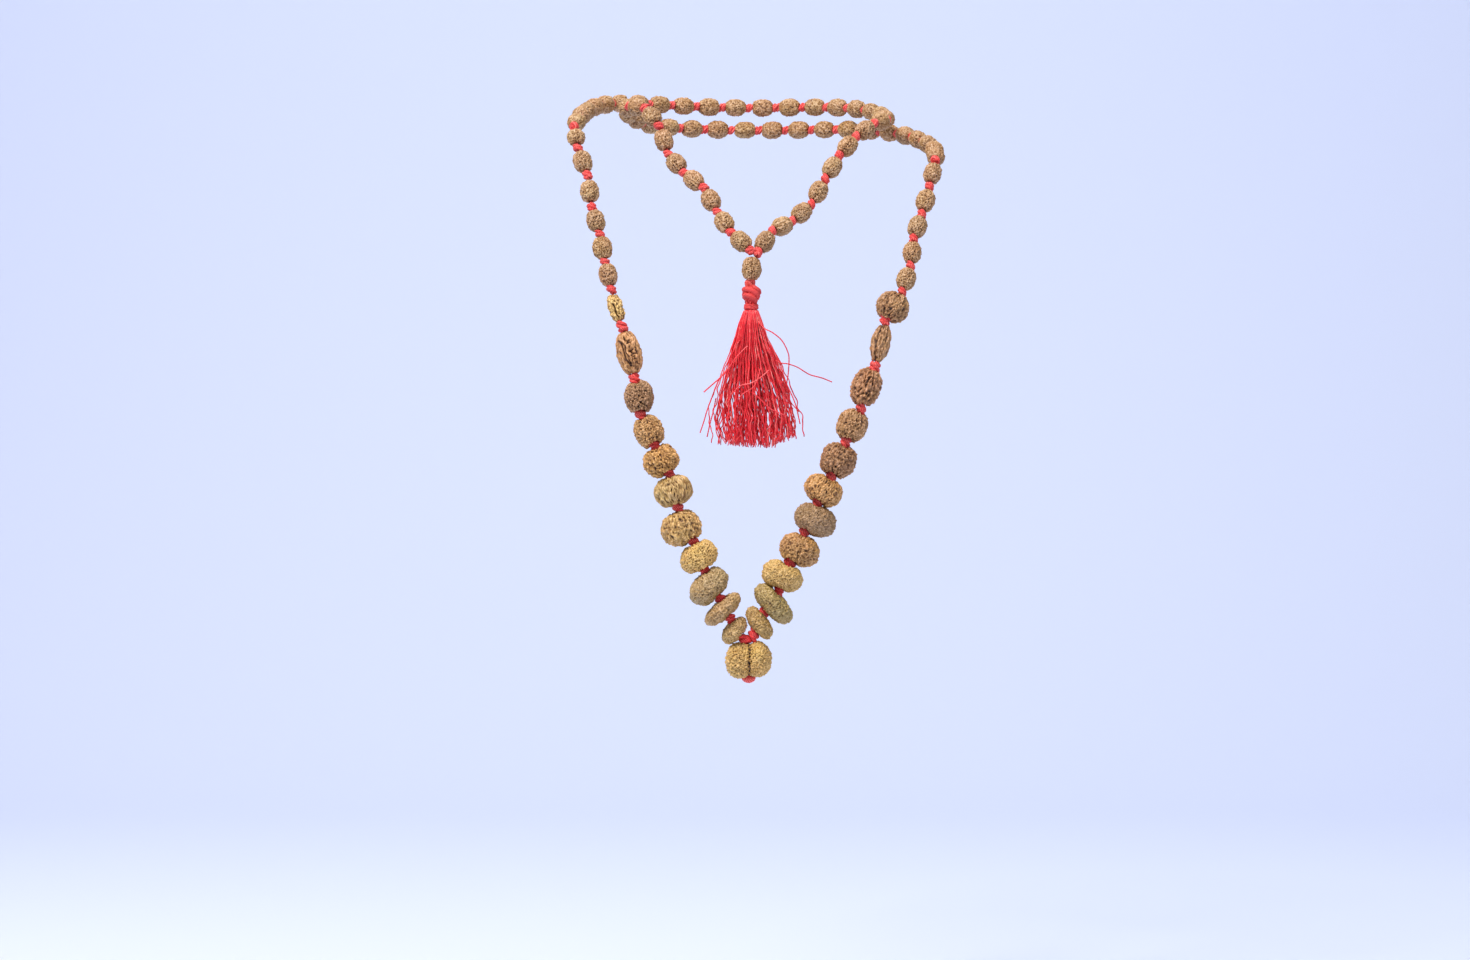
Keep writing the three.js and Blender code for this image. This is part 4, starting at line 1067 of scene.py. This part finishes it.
# a wavy thread that leaves the right side and comes back, one that stands out to the right, two ends at the left
loose(strays, [(2.6, -3.0, -4.5), (5.8, -6.0, -8.3), (9.8, -7.0, -10.5), (13.9, -7.0, -14.1),
               (16.6, -7.0, -19.5), (17.0, -6.5, -23.6), (16.6, -6.0, -29.4), (16.1, -5.0, -32.5),
               (15.7, -3.0, -37.0)], tone=0.35)
loose(strays, [(7.6, -4.0, -19.0), (12.3, -7.0, -23.6), (16.5, -8.0, -24.5), (20.6, -8.0, -25.9),
               (24.2, -7.5, -28.1), (26.9, -7.0, -29.5), (31.9, -6.5, -30.8), (36.4, -6.0, -32.6)], tone=0.2)
loose(strays, [(-9.1, -4.0, -25.3), (-11.4, -6.0, -27.6), (-13.6, -6.5, -30.3), (-17.7, -6.5, -33.9),
               (-21.3, -6.0, -37.1)], tone=0.6, radius=0.34)
loose(strays, [(-12.3, -3.0, -28.0), (-15.0, -4.0, -32.5), (-19.5, -4.0, -44.2), (-21.3, -3.5, -50.1),
               (-23.1, -3.0, -55.5)], tone=0.5)
loose(strays, [(-15.9, -2.0, -39.7), (-17.2, -3.0, -46.0), (-18.6, -3.0, -51.4), (-19.9, -2.5, -57.3)], tone=0.4)
loose(strays, [(-8.2, -11.0, -37.7), (-5.1, -12.2, -34.5), (-0.1, -13.0, -33.2), (4.4, -12.4, -30.5),
               (8.0, -10.5, -27.3)], tone=0.8, radius=0.3)
loose(strays, [(-1.5, -8.2, -16.4), (-3.7, -8.6, -18.3), (-7.7, -8.6, -22.8), (-12.3, -6.4, -29.4)], tone=0.75, radius=0.28)
loose(strays, [(-5.5, -12.0, -39.9), (-3.3, -12.6, -37.7), (1.7, -13.6, -34.1), (4.4, -11.0, -25.5)], tone=0.7, radius=0.28)
loose(strays, [(0.3, -13.0, -37.3), (3.9, -13.6, -40.4), (8.8, -13.6, -44.9), (16.0, -11.6, -48.0)], tone=0.6)
loose(strays, [(5.8, -6.0, -13.7), (9.3, -8.4, -21.0), (11.6, -10.0, -28.2), (14.2, -10.8, -37.2),
               (18.3, -10.0, -48.4)], tone=0.15)
loose(strays, [(8.5, -4.0, -15.4), (12.5, -6.0, -23.1), (15.6, -7.5, -32.6), (19.7, -8.0, -42.1),
               (22.0, -7.0, -51.5)], tone=0.3)
loose(strays, [(3.5, -4.0, -10.9), (7.6, -6.5, -19.1), (11.1, -7.0, -22.7), (13.4, -7.5, -30.4),
               (14.8, -7.0, -38.0), (18.8, -6.0, -44.7)], tone=0.1, radius=0.24)
loose(strays, [(4.9, -2.0, -15.3), (10.7, -3.0, -25.3), (14.3, -4.0, -28.9), (14.8, -4.0, -35.2),
               (17.5, -4.0, -41.1), (21.6, -3.0, -46.0)], tone=0.25, radius=0.24)
loose(strays, [(-5.0, -5.0, -13.6), (-8.2, -6.5, -19.1), (-10.9, -7.0, -28.1), (-13.2, -6.0, -37.1),
               (-15.4, -4.0, -47.4)], tone=0.15, radius=0.25)
strays.build("tassel_stray_threads", SILK, "tassel", "tassel_silk", ["tassel_skirt"])


# ------------------------------------------------------------------------------------------------ bottom seed
def bottom_seed():
    cols, rows = size(240, 130)
    kind = KINDS["bottom"]
    centre = np.array(BOTTOM_CENTRE)
    bore = 1.3
    theta = np.linspace(0.2, math.pi - 0.2, rows)
    phi = np.arange(cols) * 2 * math.pi / cols
    T, F = np.meshgrid(theta, phi, indexing="ij")
    D = np.stack([np.sin(T) * np.cos(F), np.sin(T) * np.sin(F), np.cos(T)], -1).reshape(-1, 3)

    def shell(c, radii):
        c, radii = np.array(c), np.array(radii)
        d, m = D / radii, -c / radii
        a, b, k = (d * d).sum(1), (d * m).sum(1), (m * m).sum() - 1
        return (-b + np.sqrt(np.maximum(b * b - a * k, 0))) / a

    left = shell((-4.3, 0, 0.15), (5.85, 6.3, 8.0))
    right = shell((4.3, 0, 0.75), (5.85, 6.3, 7.75))
    bridge = shell((0, 0, 0.3), (4.6, 5.2, 7.9))
    k = 0.5
    rho = k * np.log(np.exp(left / k) + np.exp(right / k) + np.exp(bridge / k))
    for knot in (LEFT_LARGE[-1], RIGHT_LARGE[-1]):
        rho = soft_min(rho, nest(D, np.array(knot) - centre, LOW_KNOT + CLEAR - 0.05), 0.25)
    rho = soft_min(rho, nest(D, np.array(TIE_KNOT) - centre, 2.55), 0.25)
    P = D * rho[:, None]
    G = P.reshape(rows, cols, 3)
    N = np.cross(np.gradient(G, axis=0), np.roll(G, -1, 1) - np.roll(G, 1, 1)).reshape(-1, 3)
    N /= np.linalg.norm(N, axis=1)[:, None] + 1e-12
    N *= np.sign((N * D).sum(1))[:, None]
    # each lobe has its own ridges, round its own middle
    lobe = np.where(P[:, 0] > 0, 1.0, -1.0)
    own = np.stack([P[:, 0] - lobe * 4.3, P[:, 2], P[:, 1] + 40 * (lobe > 0)], 1)
    flat = np.stack([own[:, 0], own[:, 1], P[:, 1]], 1)
    d, h = relief(P, flat + np.stack([60.0 * (lobe > 0), 0 * lobe, 0 * lobe], 1) * 0, 6.0, kind, 1200)
    d2, h2 = relief(P + 31.0, flat, 6.0, kind, 1300)
    pick = step(-0.6, 0.6, P[:, 0])
    d, h = d * (1 - pick) + d2 * pick, h * (1 - pick) + h2 * pick
    # the seam where the two stones meet, a furrow painted darker along it as shade
    seam_x = 0.35 + 0.45 * noise(P * 0.4, 77) + 0.2 * noise(P * 1.3, 78)
    gap = np.abs(P[:, 0] - seam_x)
    seam = np.exp(-((gap / 0.6) ** 2)) * (0.5 + 0.75 * step(-0.25, 0.3, noise(P * 0.9, 79)))
    d = d - 0.45 * seam
    h = h * (1 - np.clip(0.95 * seam, 0, 1))
    away = np.hypot(P[:, 0], P[:, 1])
    calm = step(bore, bore + 1.2, away)
    P = P + N * (d * (0.2 + 0.8 * calm))[:, None]
    G = P.reshape(rows, cols, 3)
    rim = np.stack([bore * np.cos(phi), bore * np.sin(phi), np.zeros(cols)], 1)
    for k in (0, rows - 1):
        G[k] = rim + np.array([0, 0, 1]) * G[k][:, 2].mean()
    low, high = G[rows - 1, 0, 2], G[0, 0, 2]
    tube = [rim + np.array([0, 0, low + (high - low) * k]) for k in (0.05, 0.95)]
    P = np.concatenate([G.reshape(-1, 3), *tube])
    # the bore's lining is painted dark as shade
    h = np.concatenate([h, np.full(2 * cols, 0.1)])
    parts = Parts()
    parts.add(P + centre, outward(P, ring_faces(rows + 2, cols, True)), None, h=h, tone=0.5)
    parts.build("two_lobed_seed", seed_material("seed_shell_bottom", TONES["bottom"]), "bottom_double_seed",
                "large_seed", ["bottom_double_seed"])


bottom_seed()
string = Parts()
bx, by, bz = BOTTOM_CENTRE
strand(string, [(bx, by, bz + 4.5), (bx, by, TIE_KNOT[2])], radius=0.95)
for k in (-1, 1):  # the two cord ends, laid into the bore from the last knots
    p = smooth_path([(bx + k * 0.45, by, bz + 4.4), (bx + k * 0.3, by, bz), (bx + k * 0.2, by, TIE_KNOT[2] + 0.6)], 24)
    sweep(string, p, 0.52, sides=9, ply=0.18, pitch=2.3, tone=0.5)
# both ends tied into one close knot, which lies as a crescent under the seed
ends = smooth_path([(TIE_KNOT[0] + dx, TIE_KNOT[1] - 0.2 + dy, TIE_KNOT[2] + dz)
                    for dx, dy, dz in ((-2.9, 0.2, 0.95), (-1.7, 0.0, 0.1), (0.1, -0.1, -0.25), (1.8, 0.0, 0.2),
                                       (3.0, 0.2, 1.1))], 44)
girth = np.interp(np.linspace(0, 1, 44), (0, 0.08, 0.3, 0.55, 0.8, 0.93, 1), (0.35, 0.85, 1.4, 1.55, 1.3, 0.8, 0.35))
sweep(string, ends, girth[None], sides=28, plies=5, ply=0.09, pitch=4.2, tone=0.7)
knot_between(string, (TIE_KNOT[0] + 0.2, TIE_KNOT[1], TIE_KNOT[2] + 0.6), (1.0, 0.1, 0.1), 1.3, 1401, 48, 10, long=0.9)
string.build("tie_knot", CORD, "bottom_tie", "red_cord", ["bottom_tie_cord"])


# ------------------------------------------------------------------------------------------------ studio
def studio():
    # a pale floor that curves up into the wall behind
    parts = Parts()
    y = np.concatenate([np.linspace(-3000, 900, 14), 900 + 700 * np.sin(np.linspace(0, math.pi / 2, 16))[1:],
                        np.full(8, 1600.0)])
    z = np.concatenate([np.full(14, -430.0), -430 + 700 * (1 - np.cos(np.linspace(0, math.pi / 2, 16)))[1:],
                        np.linspace(300, 3200, 8)])
    x = np.linspace(-4000, 4000, 9)
    Y, X = np.meshgrid(np.arange(len(y)), x, indexing="ij")
    V = np.stack([X, y[Y], z[Y]], -1).reshape(-1, 3)
    i, j = np.meshgrid(np.arange(len(y) - 1), np.arange(8), indexing="ij")
    Q = np.stack([i * 9 + j, i * 9 + j + 1, (i + 1) * 9 + j + 1, (i + 1) * 9 + j], -1).reshape(-1, 4)
    mesh = bpy.data.meshes.new("studio_floor")
    mesh.from_pydata([tuple(p) for p in V * MM], [], [tuple(int(c) for c in q) for q in Q])
    mesh.polygons.foreach_set("use_smooth", np.full(len(Q), True))
    floor = bpy.data.objects.new("studio_floor", mesh)
    bpy.context.scene.collection.objects.link(floor)
    n = Nodes("pale_floor")
    n.set(Base_Color=rgb(221, 227, 246), Roughness=0.9, Specular_IOR_Level=0.1)
    mesh.materials.append(n.material)

    world = bpy.data.worlds.new("studio")
    bpy.context.scene.world = world
    world.use_nodes = True
    back = world.node_tree.nodes["Background"]
    back.inputs[0].default_value = (0.80, 0.86, 1.0, 1)
    back.inputs[1].default_value = 0.44

    def lamp(name, at, to, energy, wide, colour):
        light = bpy.data.lights.new(name, "AREA")
        light.energy, light.size, light.color = energy, wide, colour
        o = bpy.data.objects.new(name, light)
        bpy.context.scene.collection.objects.link(o)
        o.location = at
        from mathutils import Vector
        o.rotation_euler = (Vector(to) - Vector(at)).to_track_quat("-Z", "Y").to_euler()
        return o

    target = (0.0, -0.11, -0.14)
    lamp("key", (-0.55, -0.85, 1.0), target, 21.0, 0.4, (1.0, 0.95, 0.94))
    lamp("fill", (0.95, -1.2, 0.25), target, 3.4, 0.9, (0.93, 0.96, 1.0))
    lamp("low", (0.0, -0.9, -0.9), target, 1.2, 1.0, (1.0, 0.93, 0.78))
    lamp("wall", (0.0, 0.35, 1.3), (0.0, 1.5, -0.2), 15.0, 2.0, (0.93, 0.96, 1.0))


studio()
camera = bpy.data.cameras.new("camera")
camera.sensor_width = 36.0
camera.lens = 81.63
camera.clip_end = 50.0
view = bpy.data.objects.new("camera", camera)
view.location = (-0.00765, -1.625, -0.17625)
view.rotation_euler = (math.pi / 2, 0, 0)
bpy.context.scene.collection.objects.link(view)
bpy.context.scene.camera = view
bpy.context.scene.view_settings.view_transform = "Standard"
